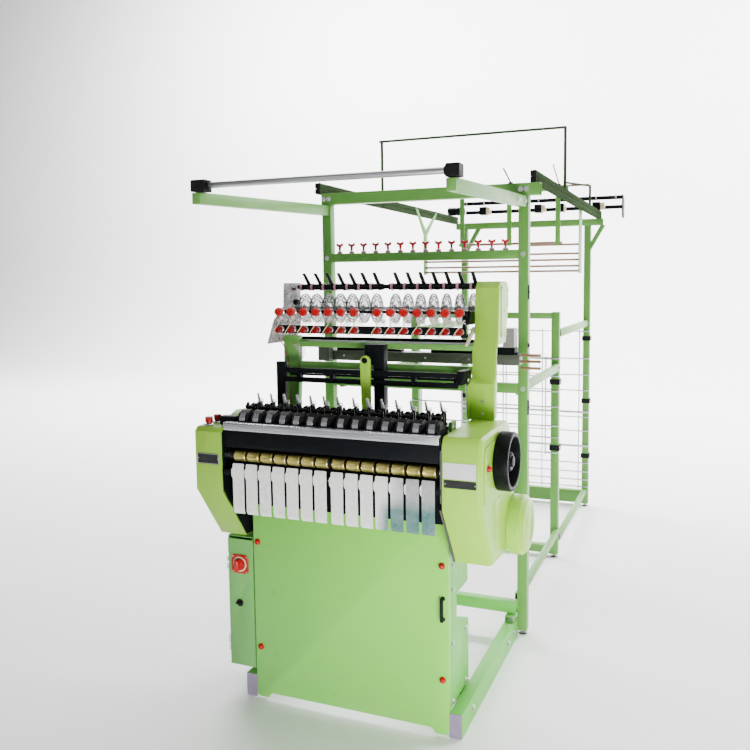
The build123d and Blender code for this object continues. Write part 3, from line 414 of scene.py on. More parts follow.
class Maker:
    """Collects shapes in machine millimetres into one mesh with several materials."""

    def __init__(self):
        self.bm = bmesh.new()
        self.mat = 0

    def _done(self, before):
        for f in self.bm.faces:
            if f.index == -1:
                f.material_index = self.mat
        self.bm.faces.index_update()

    def _tag(self, faces):
        for f in faces:
            f.material_index = self.mat

    def profile(self, pts, place, depth, inset=0.0, rounded=0):
        """Extrudes a closed outline; place maps (u, v, w) to machine xyz. The rim is chamfered by inset."""
        n = len(pts)
        rings = []
        if inset > 0:
            small = offset_outline(pts, inset)
            steps = [(small, 0.0), (pts, inset), (pts, depth - inset), (small, depth)]
        else:
            steps = [(pts, 0.0), (pts, depth)]
        for ring, w in steps:
            rings.append([self.bm.verts.new(V(*place(u, v, w))) for u, v in ring])
        faces = []
        for a, b in zip(rings, rings[1:]):
            for i in range(n):
                j = (i + 1) % n
                faces.append(self.bm.faces.new((a[i], a[j], b[j], b[i])))
        faces.append(self.bm.faces.new(list(reversed(rings[0]))))
        faces.append(self.bm.faces.new(rings[-1]))
        self._tag(faces)
        return faces

    def box(self, x0, x1, y0, y1, z0, z1, inset=0.8, turn=None):
        pts = [(x0, y0), (x1, y0), (x1, y1), (x0, y1)]
        place = (lambda u, v, w: (u, v, z0 + w)) if turn is None else (lambda u, v, w: turn(u, v, z0 + w))
        inset = min(inset, (z1 - z0) / 2.5, (x1 - x0) / 2.5, (y1 - y0) / 2.5)
        return self.profile(chamfered(pts, inset), place, z1 - z0, inset)

    def lathe(self, pts, place, n=24):
        """Turns an outline of (radius, along) about an axis; place maps (a, b, along) to machine xyz."""
        rings = []
        for r, w in pts:
            if r <= 1e-6:
                rings.append([self.bm.verts.new(V(*place(0, 0, w)))])
            else:
                rings.append([self.bm.verts.new(V(*place(r * math.cos(2 * math.pi * i / n), r * math.sin(2 * math.pi * i / n), w))) for i in range(n)])
        faces = []
        for a, b in zip(rings, rings[1:]):
            if len(a) == 1 and len(b) == 1:
                continue
            for i in range(n):
                j = (i + 1) % n
                if len(a) == 1:
                    faces.append(self.bm.faces.new((a[0], b[j], b[i])))
                elif len(b) == 1:
                    faces.append(self.bm.faces.new((a[i], a[j], b[0])))
                else:
                    faces.append(self.bm.faces.new((a[i], a[j], b[j], b[i])))
        self._tag(faces)
        return faces

    def fluted(self, pts, place, n, depth):
        """A turned outline of (radius, along, flute) whose fluted rings are ribbed by depth."""
        rings = []
        for r, w, flute in pts:
            if r <= 1e-6:
                rings.append([self.bm.verts.new(V(*place(0, 0, w)))])
                continue
            rings.append([self.bm.verts.new(V(*place((r - flute * depth * (i % 2)) * math.cos(2 * math.pi * i / n),
                                                     (r - flute * depth * (i % 2)) * math.sin(2 * math.pi * i / n), w))) for i in range(n)])
        faces = []
        for a, b in zip(rings, rings[1:]):
            for i in range(n):
                j = (i + 1) % n
                if len(a) == 1:
                    faces.append(self.bm.faces.new((a[0], b[j], b[i])))
                elif len(b) == 1:
                    faces.append(self.bm.faces.new((a[i], a[j], b[0])))
                else:
                    faces.append(self.bm.faces.new((a[i], a[j], b[j], b[i])))
        self._tag(faces)

    def ring(self, place, big, small, n=28, k=8, squash=1.0):
        """A torus about place's own axis."""
        rows = []
        for i in range(n):
            a = 2 * math.pi * i / n
            rows.append([self.bm.verts.new(V(*place((big + small * math.cos(2 * math.pi * j / k)) * math.cos(a),
                                                    (big + small * math.cos(2 * math.pi * j / k)) * math.sin(a),
                                                    small * squash * math.sin(2 * math.pi * j / k)))) for j in range(k)])
        faces = []
        for i in range(n):
            a, b = rows[i], rows[(i + 1) % n]
            for j in range(k):
                q = (j + 1) % k
                faces.append(self.bm.faces.new((a[j], b[j], b[q], a[q])))
        self._tag(faces)

    def tubelike(self, pts, place, n=28):
        """A closed ring section of (radius, along) points turned about an axis."""
        rings = [[self.bm.verts.new(V(*place(r * math.cos(2 * math.pi * i / n), r * math.sin(2 * math.pi * i / n), w))) for i in range(n)] for r, w in pts]
        faces = []
        for a, b in zip(rings, rings[1:] + rings[:1]):
            for i in range(n):
                j = (i + 1) % n
                faces.append(self.bm.faces.new((a[i], a[j], b[j], b[i])))
        self._tag(faces)

    def framed(self, half, hole, place, depth, soft=0.25, n=48):
        """A square plate with softened corners and a round hole."""
        def square(a, h):
            c, q = abs(math.cos(a)), abs(math.sin(a))
            k = h / (c ** 8 + q ** 8) ** (1 / 8)
            return k * math.cos(a), k * math.sin(a)

        rings = []
        for kind, size, w in (("s", half - 1, 0), ("s", half, 1), ("s", half, depth - 1), ("s", half - 1, depth),
                              ("c", hole + 0.6, depth), ("c", hole, depth - 0.6), ("c", hole, 0.6), ("c", hole + 0.6, 0)):
            row = []
            for i in range(n):
                a = 2 * math.pi * i / n
                u, v = square(a, size) if kind == "s" else (size * math.cos(a), size * math.sin(a))
                row.append(self.bm.verts.new(V(*place(u, v, w))))
            rings.append(row)
        faces = []
        for a, b in zip(rings, rings[1:] + rings[:1]):
            for i in range(n):
                j = (i + 1) % n
                faces.append(self.bm.faces.new((a[i], a[j], b[j], b[i])))
        self._tag(faces)

    def sheet_strip(self, x, rows, t):
        """A bent upright sheet: rows of (z, y, half width) from top to bottom, t thick behind its face."""
        grid = []
        for z, y, hw in rows:
            grid.append([self.bm.verts.new(V(x - hw, y, z)), self.bm.verts.new(V(x + hw, y, z)),
                         self.bm.verts.new(V(x + hw, y + t, z)), self.bm.verts.new(V(x - hw, y + t, z))])
        faces = []
        for a, b in zip(grid, grid[1:]):
            for i in range(4):
                j = (i + 1) % 4
                faces.append(self.bm.faces.new((a[i], a[j], b[j], b[i])))
        faces.append(self.bm.faces.new(grid[0]))
        faces.append(self.bm.faces.new(list(reversed(grid[-1]))))
        self._tag(faces)

    def rod(self, p, q, r, n=12, cap=0.5, taper=1.0):
        """A round bar between two machine points, its ends slightly chamfered."""
        a, b = Vector(p), Vector(q)
        d = (b - a)
        length = d.length
        d.normalize()
        u = d.orthogonal().normalized()
        v = d.cross(u)
        c = min(cap, length / 3, r * 0.6)
        r2 = r * taper

        def place(x, y, w):
            return tuple(a + u * x + v * y + d * w)

        return self.lathe([(0, 0), (r - c, 0), (r, c), (r2, length - c), (r2 - c, length), (0, length)], place, n)

    def path(self, pts, r, n=8):
        """A round wire through machine points."""
        pts = [Vector(p) for p in pts]
        rings = []
        ref = None
        for i, p in enumerate(pts):
            a = pts[max(i - 1, 0)]
            b = pts[min(i + 1, len(pts) - 1)]
            d = (b - a).normalized()
            u = (d.orthogonal() if ref is None else (ref - d * ref.dot(d))).normalized()
            ref = u
            v = d.cross(u)
            rings.append([self.bm.verts.new(V(*(p + (u * math.cos(2 * math.pi * k / n) + v * math.sin(2 * math.pi * k / n)) * r))) for k in range(n)])
        faces = []
        for a, b in zip(rings, rings[1:]):
            for i in range(n):
                j = (i + 1) % n
                faces.append(self.bm.faces.new((a[i], a[j], b[j], b[i])))
        faces.append(self.bm.faces.new(list(reversed(rings[0]))))
        faces.append(self.bm.faces.new(rings[-1]))
        self._tag(faces)

    def make(self, name, mats, body, node=None, slot=None, bevel=0.0, segments=2, angle=35):
        obj = new_object(name, self.bm, mats, angle)
        if bevel:
            bevelled(obj, bevel, segments, angle)
        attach(obj, body)
        if node:
            for n in node if isinstance(node, (list, tuple)) else [node]:
                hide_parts(n)
        return obj


def offset_outline(pts, d):
    """Moves each corner of a closed outline inwards by about d."""
    n = len(pts)
    area = sum(pts[i][0] * pts[(i + 1) % n][1] - pts[(i + 1) % n][0] * pts[i][1] for i in range(n))
    s = 1 if area > 0 else -1
    out = []
    for i in range(n):
        p, a, b = Vector(pts[i]), Vector(pts[i - 1]), Vector(pts[(i + 1) % n])
        e1, e2 = (p - a).normalized(), (b - p).normalized()
        n1, n2 = Vector((-e1.y, e1.x)) * s, Vector((-e2.y, e2.x)) * s
        m = n1 + n2
        k = m.length_squared
        m = m * (2 / k) if k > 0.2 else n1
        out.append((p.x + m.x * d, p.y + m.y * d))
    return out


def chamfered(pts, c):
    """Cuts the corners of a closed outline by c."""
    out = []
    n = len(pts)
    for i in range(n):
        p, a, b = Vector(pts[i]), Vector(pts[i - 1]), Vector(pts[(i + 1) % n])
        out.append(tuple(p + (a - p).normalized() * c))
        out.append(tuple(p + (b - p).normalized() * c))
    return out


def rounded(pts, r, n=4):
    """Rounds the corners of a closed outline; r is one radius or one for each corner."""
    out = []
    m = len(pts)
    rs = r if isinstance(r, (list, tuple)) else [r] * m
    for i in range(m):
        p, a, b = Vector(pts[i]), Vector(pts[i - 1]), Vector(pts[(i + 1) % m])
        rad = rs[i]
        if rad <= 0:
            out.append(tuple(p))
            continue
        u, v = (a - p), (b - p)
        half = u.angle(v) / 2
        t = min(rad / math.tan(half), u.length * 0.49, v.length * 0.49)
        s, e = p + u.normalized() * t, p + v.normalized() * t
        for k in range(n + 1):
            w = k / n
            out.append(tuple(s * (1 - w) ** 2 + p * 2 * w * (1 - w) + e * w ** 2))
    return out


def side(x):
    return lambda u, v, w: (x + w, u, v)


def front(y):
    return lambda u, v, w: (u, y - w, v)


def upright(z):
    return lambda u, v, w: (u, v, z + w)


def along_x(y, z, x0=0.0):
    return lambda a, b, w: (x0 + w, y + a, z + b)


def along_y(x, z, y0=0.0):
    return lambda a, b, w: (x + a, y0 + w, z + b)


def along_z(x, y, z0=0.0):
    return lambda a, b, w: (x + a, y + b, z0 + w)


def toward_front(x, z, y0):
    return lambda a, b, w: (x + a, y0 - w, z + b)


def toward_back(x, z, y0):
    return lambda a, b, w: (x + a, y0 + w, z + b)


def toward_left(y, z, x0):
    return lambda a, b, w: (x0 - w, y + a, z + b)


def toward_right(y, z, x0):
    return lambda a, b, w: (x0 + w, y + a, z + b)


def screw_head(m, place, r=5.0, h=3.0, socket=True):
    """A cap screw's head with its socket, or a plain domed head."""
    pts = [(0, h * 0.45), (r * 0.42, h * 0.45), (r * 0.48, h), (r * 0.88, h), (r, h * 0.8), (r, 0), (0, 0)] if socket else [(0, h), (r * 0.55, h * 0.9), (r * 0.9, h * 0.5), (r, 0), (0, 0)]
    m.lathe(pts, place, 14)


def hex_bolt(m, place, r=8.0, h=5.5):
    """A hexagon head on its washer."""
    m.lathe([(0, 1.4), (r * 1.25, 1.4), (r * 1.3, 1.0), (r * 1.3, 0), (0, 0)], place, 20)
    m.lathe([(0, h), (r * 0.55, h), (r * 0.86, h), (r, h * 0.8), (r, 1.3), (0, 1.3)], place, 6)


# ---------------------------------------------------------------------- camera
cam_data = bpy.data.cameras.new("camera")
cam = bpy.data.objects.new("camera", cam_data)
bpy.context.scene.collection.objects.link(cam)
YAW, PITCH_DOWN, ROLL = 0.36531241, 0.08587134, -0.00830615
fw = Vector((-math.sin(YAW) * math.cos(PITCH_DOWN), math.cos(YAW) * math.cos(PITCH_DOWN), -math.sin(PITCH_DOWN)))
rt = Vector((math.cos(YAW), math.sin(YAW), 0))
up = rt.cross(fw)
r2 = rt * math.cos(ROLL) + up * math.sin(ROLL)
u2 = up * math.cos(ROLL) - rt * math.sin(ROLL)
cam.matrix_world = Matrix(((r2.x, u2.x, -fw.x, (1094.8 + CX) / 1000), (r2.y, u2.y, -fw.y, (-2195.3 + CY) / 1000),
                           (r2.z, u2.z, -fw.z, 1.450), (0, 0, 0, 1)))
cam_data.sensor_width = 36
cam_data.lens = 761.17219 / 750 * 36
cam_data.shift_x = (375 - 416.06129) / 750
cam_data.shift_y = -(375 - 347.40573) / 750
cam_data.clip_end = 60
bpy.context.scene.camera = cam

# -------------------------------------------------------------- floor and light
def floor_material():
    t = Tree("floor_pale")
    col = t.ramp(t.noise(1.6, 5), [(0.3, (0.880, 0.880, 0.885)), (0.7, (0.905, 0.905, 0.910))])
    t.link(col, t.b.inputs["Base Color"])
    t.link(t.remap(t.noise(4, 4), 0.3, 0.7, 0.50, 0.62), t.b.inputs["Roughness"])
    t.b.inputs["Specular IOR Level"].default_value = 0.25
    return t.mat


bm = bmesh.new()
W, D, H, R = 30.0, 6.0, 16.0, 2.5
prof = [(-24.0, 0.0), (D, 0.0)] + [(D + R * math.sin(a), R - R * math.cos(a)) for a in [math.pi / 2 * i / 16 for i in range(1, 17)]] + [(D + R, H)]
rows = [[bm.verts.new((x, y, z)) for y, z in prof] for x in (-W, W)]
for i in range(len(prof) - 1):
    bm.faces.new((rows[0][i], rows[0][i + 1], rows[1][i + 1], rows[1][i]))
me = bpy.data.meshes.new("studio_floor")
bmesh.ops.recalc_face_normals(bm, faces=bm.faces)
bm.to_mesh(me)
bm.free()
floor = bpy.data.objects.new("studio_floor", me)
bpy.context.scene.collection.objects.link(floor)
me.materials.append(floor_material())
finish_mesh(floor, 60)

world = bpy.data.worlds.new("studio")
bpy.context.scene.world = world
world.use_nodes = True
world.node_tree.nodes["Background"].inputs[0].default_value = (0.95, 0.97, 1.0, 1)
world.node_tree.nodes["Background"].inputs[1].default_value = 0.24


def area(name, at, to, size, power, color=(1, 1, 1)):
    d = bpy.data.lights.new(name, "AREA")
    d.shape = "RECTANGLE"
    d.size, d.size_y = size
    d.energy = power
    d.color = color
    o = bpy.data.objects.new(name, d)
    bpy.context.scene.collection.objects.link(o)
    o.location = at
    o.visible_camera = False
    o.rotation_euler = (Vector(to) - Vector(at)).to_track_quat("-Z", "Y").to_euler()
    return o


area("key_right", (1.45, -2.95, 0.28), (0.32, -1.2, 0.28), (1.3, 0.5), 96, (1.0, 0.995, 0.98))
area("fill_front", (-1.4, -5.4, 2.6), (-0.1, -0.8, 0.9), (3.0, 2.2), 30, (0.97, 0.99, 1.0))
area("top_soft", (0.6, -0.6, 4.8), (0.0, -0.3, 0.8), (3.0, 3.0), 95, (1, 1, 1))
area("rear_right", (3.8, 2.4, 1.6), (0.3, 0.9, 0.9), (2.2, 1.6), 45, (1, 1, 1))
area("wash_left", (-4.5, 3.6, 6.6), (-4.0, 8.4, 1.0), (6.0, 3.0), 2700, (1, 1, 1))
area("wash_right", (4.5, 3.6, 6.6), (4.0, 8.4, 1.0), (6.0, 3.0), 2700, (1, 1, 1))

# ------------------------------------------------------------ plain finishes
refine("base_frame", LEG_GREEN, 1.2)
refine("front_panel", PANEL, 1.2)
refine("side_frames", LEG_GREEN, 2.5)
refine("right_housing", HOUSING, 4.0, 3)
# the left housing takes the darker, painted-shade copy of the housing paint
refine("left_housing", HOUSING_LEFT_SHADED, 4.0, 3)
refine("column_head", HOUSING, 3.0, 3)
refine("side_cover", HOUSING, 1.2)
refine("motor_cover", HOUSING, 5.0, 3)
refine("electrical_cabinet", DEEP_GREEN, 0.8)
refine("electrical_door", DEEP_GREEN, 0.5)
refine("centre_lever", HOUSING, 1.0)
refine("upper_frame", FRAME_GREEN, 1.5)
refine("creel_posts", FRAME_GREEN, 1.0)
refine("creel_beams", FRAME_GREEN, 0.9)
refine("creel_side_members", FRAME_GREEN, 1.0)
refine("side_channels", CHANNEL_GREEN, 0.7)
refine("breast_bar", CHROME_BAR, 0.8)
refine("table_bed", FRAME_GREEN, 1.5)
refine("side_liners", BLACK_PAINT, 0.8)
refine("centre_post", BLACK_PAINT, 1.0)
refine("harness_rails", BLACK_PAINT, 1.0)
refine("feeder_rails", BLACK_PAINT, 0.8)
refine("feeder_end_plate", CLEAR, 0.8)
refine("yarn_lever", CREAM, 1.4)
refine("main_shaft", STEEL, 0.8)
refine("motor_pulley", STEEL, 0.8)
refine("drive_belt", BELT, 0.6)
refine("front_tube", TUBE_METAL, 0.8)
refine("top_yarn_frame", CHANNEL_GREEN, 0.7)
refine("guide_rods", BROWN, 0.7)
refine("stop_motion_unit", GREY_PAINT, 1.5)
racks = refine("wire_racks", ZINC, 0.0)
racks.data.materials.append(BLACK_MATTE)
CLAMPS = ((370, 1718, 930), (370, 1718, 585), (-403, 1718, 930), (-403, 1718, 585), (385, 2695, 1085), (385, 2695, 685), (385, 2695, 330),
          (-420, 2695, 1085), (-420, 2695, 685), (-420, 2695, 330))
for poly in racks.data.polygons:
    for c in CLAMPS:
        corners = [racks.data.vertices[v].co - V(*c) for v in poly.vertices]
        if all(abs(k.x) < 0.0262 and abs(k.y) < 0.0262 and abs(k.z) < 0.0142 for k in corners) and any(max(abs(k.x), abs(k.y)) > 0.0201 for k in corners):
            poly.material_index = 1
refine("apron_plate", BLACK_PAINT, 0.4)
refine("sley_shaft", STEEL, 0.6)

# --------------------------------------------------------------- base and feet
m = Maker()
for x, y in ((413, 797), (-453, 797), (370, 1718), (-403, 1718), (385, 2695), (-420, 2695)):
    p = along_z(x, y, 0)
    m.mat = 1
    m.lathe([(0, 0), (18, 0), (19, 1), (19, 3.4), (18, 4.2), (0, 4.2)], p, 28)
    m.mat = 0
    m.lathe([(0, 4.1), (16.5, 4.1), (15, 6.2), (7.5, 7.6), (6, 8.4), (6, 15.6), (0, 15.6)], p, 24)
    m.lathe([(0, 10.2), (11, 10.2), (12, 10.9), (12, 14.2), (11, 15.0), (0, 15.0)], p, 6)
m.make("feet_detail", [STEEL_Z, BLACK_MATTE], "frame", "levelling_feet", "bright_steel")

m = Maker()
for x in (-375.0, 379.0):
    for y0, d in ((2.9, -1), (760.1, 1)):
        place = (lambda xx, yy, dd: lambda u, v, w: (xx + u, yy + dd * w, v))(x, y0, d)
        m.profile(rounded([(-21, 0.3), (21, 0.3), (21, 80), (-21, 80)], 3.5, 4), place, 2.9, 0.7)
m.make("rail_plugs", GREY_RUBBER, "frame", "tube_end_caps", "grey_rubber")

m = Maker()
for x0, x1 in ((-473, -420.4), (395.4, 437)):
    m.profile(rounded([(-126, 1745.6), (-82, 1745.6), (-82, 1784), (-126, 1784)], 4, 4), side(x0), x1 - x0, 1.5)
    end = x1 if x0 < 0 else x0
    d = 1 if x0 < 0 else -1
    mid = (x0 + x1) / 2
    screw_head(m, along_z(mid, -104, 1783.6), 4.5, 2.6)
    m.tubelike([(10.3, 0), (13.5, 0), (14.5, 1), (14.5, 7), (13.5, 8), (10.3, 8)], along_x(-104, 1766, end if d > 0 else end - 8), 28)
for x0, x1 in ((440, 464), (-505, -481)):
    for z0 in (1833.2, 1857.4):
        for y0, d in ((778.3, -1), (2740.2, 1)):
            place = (lambda yy, dd: lambda u, v, w: (u, yy + dd * w, v))(y0, d)
            m.profile(rounded([(x0 + 0.3, z0 + 0.3), (x1 - 0.3, z0 + 0.3), (x1 - 0.3, z0 + 21.7), (x0 + 0.3, z0 + 21.7)], 3, 3), place, 2.8, 0.8)
m.make("tube_plugs", BLACK_MATTE, "frame", "tube_end_caps", "black_plastic")

# --------------------------------------------------------- panel and cabinet
m = Maker()
for x, z in ((-336, 561), (336, 561), (-332, 187), (337, 188)):
    p = toward_front(x, z, -0.1)
    m.lathe([(0, 0), (11, 0), (11, 1.6), (10.2, 2.4), (9.4, 2.6), (9.4, 5.5), (8.4, 8.6), (6.2, 10.8), (3, 11.8), (0, 12)], p, 28)
for y, z in ((-78, 903), (238, 846)):
    p = toward_right(y, z, OUT_R + 4.2)
    m.lathe([(0, 0), (11, 0), (11, 1.6), (10.2, 2.4), (9.4, 2.6), (9.4, 5.5), (8.4, 9.2), (6.2, 11.6), (3, 12.6), (0, 12.8)], p, 28)
m.make("panel_knobs_detail", RED, "frame", "panel_knobs", "red_plastic")

m = Maker()
arc = [(339, -0.4, 388), (339, -8, 388), (339, -13.2, 392), (339, -14, 400), (339, -14, 421.5), (339, -14, 443), (339, -13.2, 451), (339, -8, 455), (339, -0.4, 455)]
m.path(arc, 4.6, 14)
m.profile(rounded([(333.4, 383), (344.6, 383), (344.6, 460.4), (333.4, 460.4)], 4, 4), front(-12.6), 5.4, 1.6)
for z in (388, 455):
    m.lathe([(0, 0), (7.5, 0), (7.5, 1.6), (6.2, 2.6), (0, 2.6)], toward_front(339, z, -0.1), 22)
m.make("handle_detail", BLACK_GLOSS, "frame", "panel_handle", "black_plastic")

# bolts of the front panel's side, legs' bolts
m = Maker()
for y in (44, 188):
    for z in (96, 292) if y < 100 else (96, 280):
        hex_bolt(m, toward_right(y, z, 355.1), 7.5, 5.5)
for z in (470, 548, 742):
    hex_bolt(m, toward_right(44 if z != 742 else 190, z, 355.1), 7.0, 5.0)
m.rod((358, 226, 32), (378, 226, 32), 3)
hex_bolt(m, toward_right(600, 42, 400.1), 9, 6)
hex_bolt(m, toward_right(690, 42, 400.1), 9, 6)
hex_bolt(m, toward_right(120, 42, 400.1), 9, 6)
hex_bolt(m, toward_right(728, 92, 397.1), 6, 4)
for y in (120, 600, 690):
    hex_bolt(m, toward_left(y, 42, -396.1), 9, 6)
m.make("leg_bolts", STEEL, "frame", slot="bright_steel")

# cabinet: hinge pins, plain switch escutcheon
m = Maker()
for z in (150, 178.6, 449, 478):
    m.lathe([(0, 0), (3.4, 0), (3.6, 0.5), (3.6, 28.2), (3.4, 28.7), (0, 28.7)], along_z(-464.2, 5, z), 16)
m.make("hinge_barrels", STEEL_Z, "frame", slot="bright_steel")

m = Maker()
m.mat = 0
m.framed(33.5, 23.5, lambda u, v, w: (-411 + u, 3.15 - w, 472 + v), 4.6)
m.mat = 1
m.tubelike([(22.6, 0), (26.5, 0), (26.5, 1.2), (25.6, 1.7), (22.6, 1.7)], toward_front(-411, 472, -1.3), 40)
m.mat = 2
for a in range(4):
    u, v = 27 * (1 if a in (0, 3) else -1), 27 * (1 if a < 2 else -1)
    screw_head(m, toward_front(-411 + u, 472 + v, -1.3), 2.6, 1.1, False)
m.make("switch_plate", [RED, CREAM, STEEL], "cabinet_door", slot="red_plastic")

m = Maker()
p = toward_front(-411, 472, 0)
m.lathe([(0, -12), (6, -12), (6, 0.1), (20, 0.1), (21, 0.8), (21, 8), (19.5, 11), (14, 13.6), (0, 14)], p, 36)
m.profile(rounded([(-417, 452), (-405, 452), (-406.5, 492), (-415.5, 492)], 4, 4), front(-13.0), 11, 1.8)
m.make("switch_knob", RED, "switch_handle", "main_switch", "red_plastic")

m = Maker()
p = toward_front(-416, 331, 0)
m.lathe([(0, -14), (5, -14), (5, -2.8), (12.6, -2.8), (13, -2.2), (13, 0.6), (11, 2.0), (0, 2.0)], p, 28)
m.profile(rounded([(-429, 327.2), (-429, 334.8), (-403, 334.8), (-403, 327.2)], 3.6, 4), front(-1.9), 6, 1.2)
m.make("latch_detail", BLACK_GLOSS, "latch", "door_latch", "black_plastic")

# ---------------------------------------------------------------- housings
m = Maker()
m.mat = 0
for k, (x0, x1, z0, z1) in ((0, (386, 486, 877, 925)), (2, (388, 487, 850, 874))):
    m.mat = k
    m.profile(rounded([(x0, z0), (x1, z0), (x1, z1), (x0, z1)], 3, 4), front(FRONT - 0.1), 1.3, 0.5)
m.mat = 1
for x0, x1, z0, z1 in ((386, 486, 877, 925), (388, 487, 850, 874), (-477, -392, 856, 892)):
    for x in (x0 + 4, x1 - 4):
        screw_head(m, toward_front(x, (z0 + z1) / 2, FRONT - 1.3), 1.7, 0.7, False)
for y in (-94, -46):
    m.tubelike([(9.95, 0), (15.5, 0), (16, 0.8), (15.2, 3.0), (13.6, 4.4), (9.95, 4.4)], along_z(-452, y, 979.0 if y < -60 else 980.0), 36)
m.mat = 2
m.profile(rounded([(-477, 856), (-392, 856), (-392, 892), (-477, 892)], 3, 4), front(FRONT - 0.1), 1.3, 0.5)
m.mat = 0
for a, b in (((-475, 858.2), (-394, 858.2)), ((-475, 889.8), (-394, 889.8)), ((-475, 858.2), (-475, 889.8)), ((-394, 858.2), (-394, 889.8))):
    m.rod((a[0], FRONT - 1.3, a[1]), (b[0], FRONT - 1.3, b[1]), 0.45, 6, 0.1)
m.make("plates_detail", [LABEL_PALE, STEEL, LABEL_DARK], "frame", "trim_plates", "white_plate")

for body, node, y in (("start", "start_button", -94), ("stop", "stop_button", -46)):
    m = Maker()
    m.lathe([(0, 962), (9.8, 962), (9.8, 988.9), (12.4, 989.0), (13, 989.8), (13, 1004.6), (12.2, 1006.8), (9.6, 1007.8), (0, 1008)], along_z(-452, y, 0), 36)
    m.make(node + "_detail", DARK_RED, body, node, "red_plastic")

m = Maker()
# seam of the pressed cover and its screws, edge strips inside the right housing's slope
m.mat = 0
m.profile(rounded([(-130.5, 779), (-127.6, 782), (2, 583), (0.5, 578.2), (-2, 578.2)], 0.8, 2), side(373.5), 5.6, 0.8)
m.profile(rounded([(-130.3, 800), (-126.5, 800), (-126.5, 958), (-130.3, 958)], 1.2, 3), side(376), 4.2, 0.6)
m.mat = 1
for y, z in ((-92, 812), (-92, 940), (150, 950), (216, 775), (60, 780)):
    screw_head(m, toward_right(y, z, OUT_R + 4.1), 5, 3)
for a in range(4):
    w = math.pi / 4 + a * math.pi / 2
    screw_head(m, toward_right(250 + 72 * math.cos(w), 640 + 72 * math.sin(w), OUT_R + 56.0), 4.5, 2.4)
for y, z in ((-60, 640), (120, 620), (0, 950), (150, 940)):
    screw_head(m, toward_left(y, z + 60 if z < 900 else z, OUT_L + 0.1), 4.5, 2.6)
m.make("housing_trim", [GREY_PAINT, STEEL], "frame", slot="grey_paint")

m = Maker()
# louvres of the motor guard, pressed outwards round its face
for k in range(3):
    m.tubelike([(30 + 15 * k, 0), (34 + 15 * k, 0), (33.4 + 15 * k, 1.6), (30.6 + 15 * k, 1.6)], toward_right(250, 640, OUT_R + 56.0), 48)
m.lathe([(0, 0), (14, 0), (13, 1.6), (0, 2.2)], toward_right(250, 640, OUT_R + 56.0), 28)
m.make("guard_ribs", HOUSING, "frame", slot="green_paint")

# ----------------------------------------------------------------------- drive
m = Maker()
for k in range(8):
    x = 396 + 9 * k
    m.tubelike([(46, x), (52, x), (52, x + 3), (46, x + 3)], toward_right(205, 640, 0), 36)
m.tubelike([(9.1, 390), (46.2, 390), (47, 391), (47, 469), (46.2, 470), (9.1, 470)], toward_right(205, 640, 0), 36)
m.tubelike([(9.1, 384), (38, 384), (40, 386), (40, 390.2), (9.1, 390.2)], toward_right(205, 640, 0), 36)
m.profile(rounded([(170, 574), (215, 574), (215, 590), (190, 606), (170, 606)], 3, 3), side(395), 70, 1.5)
m.make("motor_detail", GREY_PAINT, "frame", "motor", "grey_paint")

m = Maker()
p = toward_right(SHAFT[0], SHAFT[1], 0)
m.tubelike([(74, 508), (87, 507), (90.4, 508), (92, 511), (92, 547), (90, 551.4), (87, 553), (80, 553), (77.6, 551.5), (76.5, 546), (75.5, 520)], p, 72)
m.tubelike([(15.05, 509.2), (28, 509.2), (30, 511), (30, 541), (27, 545), (15.05, 545)], p, 40)
for k in range(3):
    a = k * 2 * math.pi / 3 + 0.5
    c, q = math.cos(a), math.sin(a)
    outline = rounded([(26, -12), (50, -8.5), (76, -11), (76, 11), (50, 8.5), (26, 12)], [0, 8, 0, 0, 8, 0], 4)
    m.profile(outline, (lambda cc, qq: lambda u, v, w: (514 + w, SHAFT[0] + u * cc - v * qq, SHAFT[1] + u * qq + v * cc))(c, q), 12, 2.0)
    m.profile(rounded([(30, -2), (74, -2), (74, 2), (30, 2)], 1, 2),
              (lambda cc, qq: lambda u, v, w: (525.6 + w, SHAFT[0] + u * cc - v * qq, SHAFT[1] + u * qq + v * cc))(c, q), 4, 1.0)
m.lathe([(0, 544.9), (16.4, 544.9), (17.2, 546.0), (16.2, 550.6), (9, 552.2), (0, 552.2)], p, 32)
screw_head(m, toward_right(SHAFT[0], SHAFT[1] + 22, 545), 3.4, 2.2)
screw_head(m, toward_right(SHAFT[0] + 19, SHAFT[1] - 11, 545), 3.4, 2.2)
screw_head(m, toward_right(SHAFT[0] - 19, SHAFT[1] - 11, 545), 3.4, 2.2)
m.make("handwheel_detail", BLACK_WHEEL, "drive_shaft", "handwheel", "black_plastic")

# -------------------------------------------------------------- take-up rollers
m = Maker()
for x in STATIONS:
    p = along_x(TAKE[0], TAKE[1], x - 20.5)
    m.fluted([(9.05, 0, 0), (16.2, 0, 0), (17.4, 0.8, 0), (18.0, 2.2, 0), (18.0, 2.6, 1), (18.0, 38.4, 1), (18.0, 38.8, 0), (17.4, 40.2, 0), (16.2, 41, 0), (9.05, 41, 0)], p, 72, 0.45)
m.make("rollers_detail", BRASS, "take_up", "take_up_rollers", "brass_roller")

m = Maker()
m.mat = 0
m.lathe([(0, -380.6), (8.6, -380.6), (9, -380), (9, 380), (8.6, 380.6), (0, 380.6)], along_x(TAKE[0], TAKE[1], 0), 28)
m.mat = 1
edges = [-352.0] + [(a + b) / 2 for a, b in zip(STATIONS, STATIONS[1:])] + [366.0]
for i, x in enumerate(edges):
    w = 4.3 if i not in (7,) else 7.6
    m.tubelike([(9.02, -w), (12.2, -w), (13, -w + 0.8), (13, w - 0.8), (12.2, w), (9.02, w)], along_x(TAKE[0], TAKE[1], x), 28)
m.make("take_up_shaft_detail", [STEEL, BLACK_MATTE], "take_up", "take_up_shaft", "bright_steel")

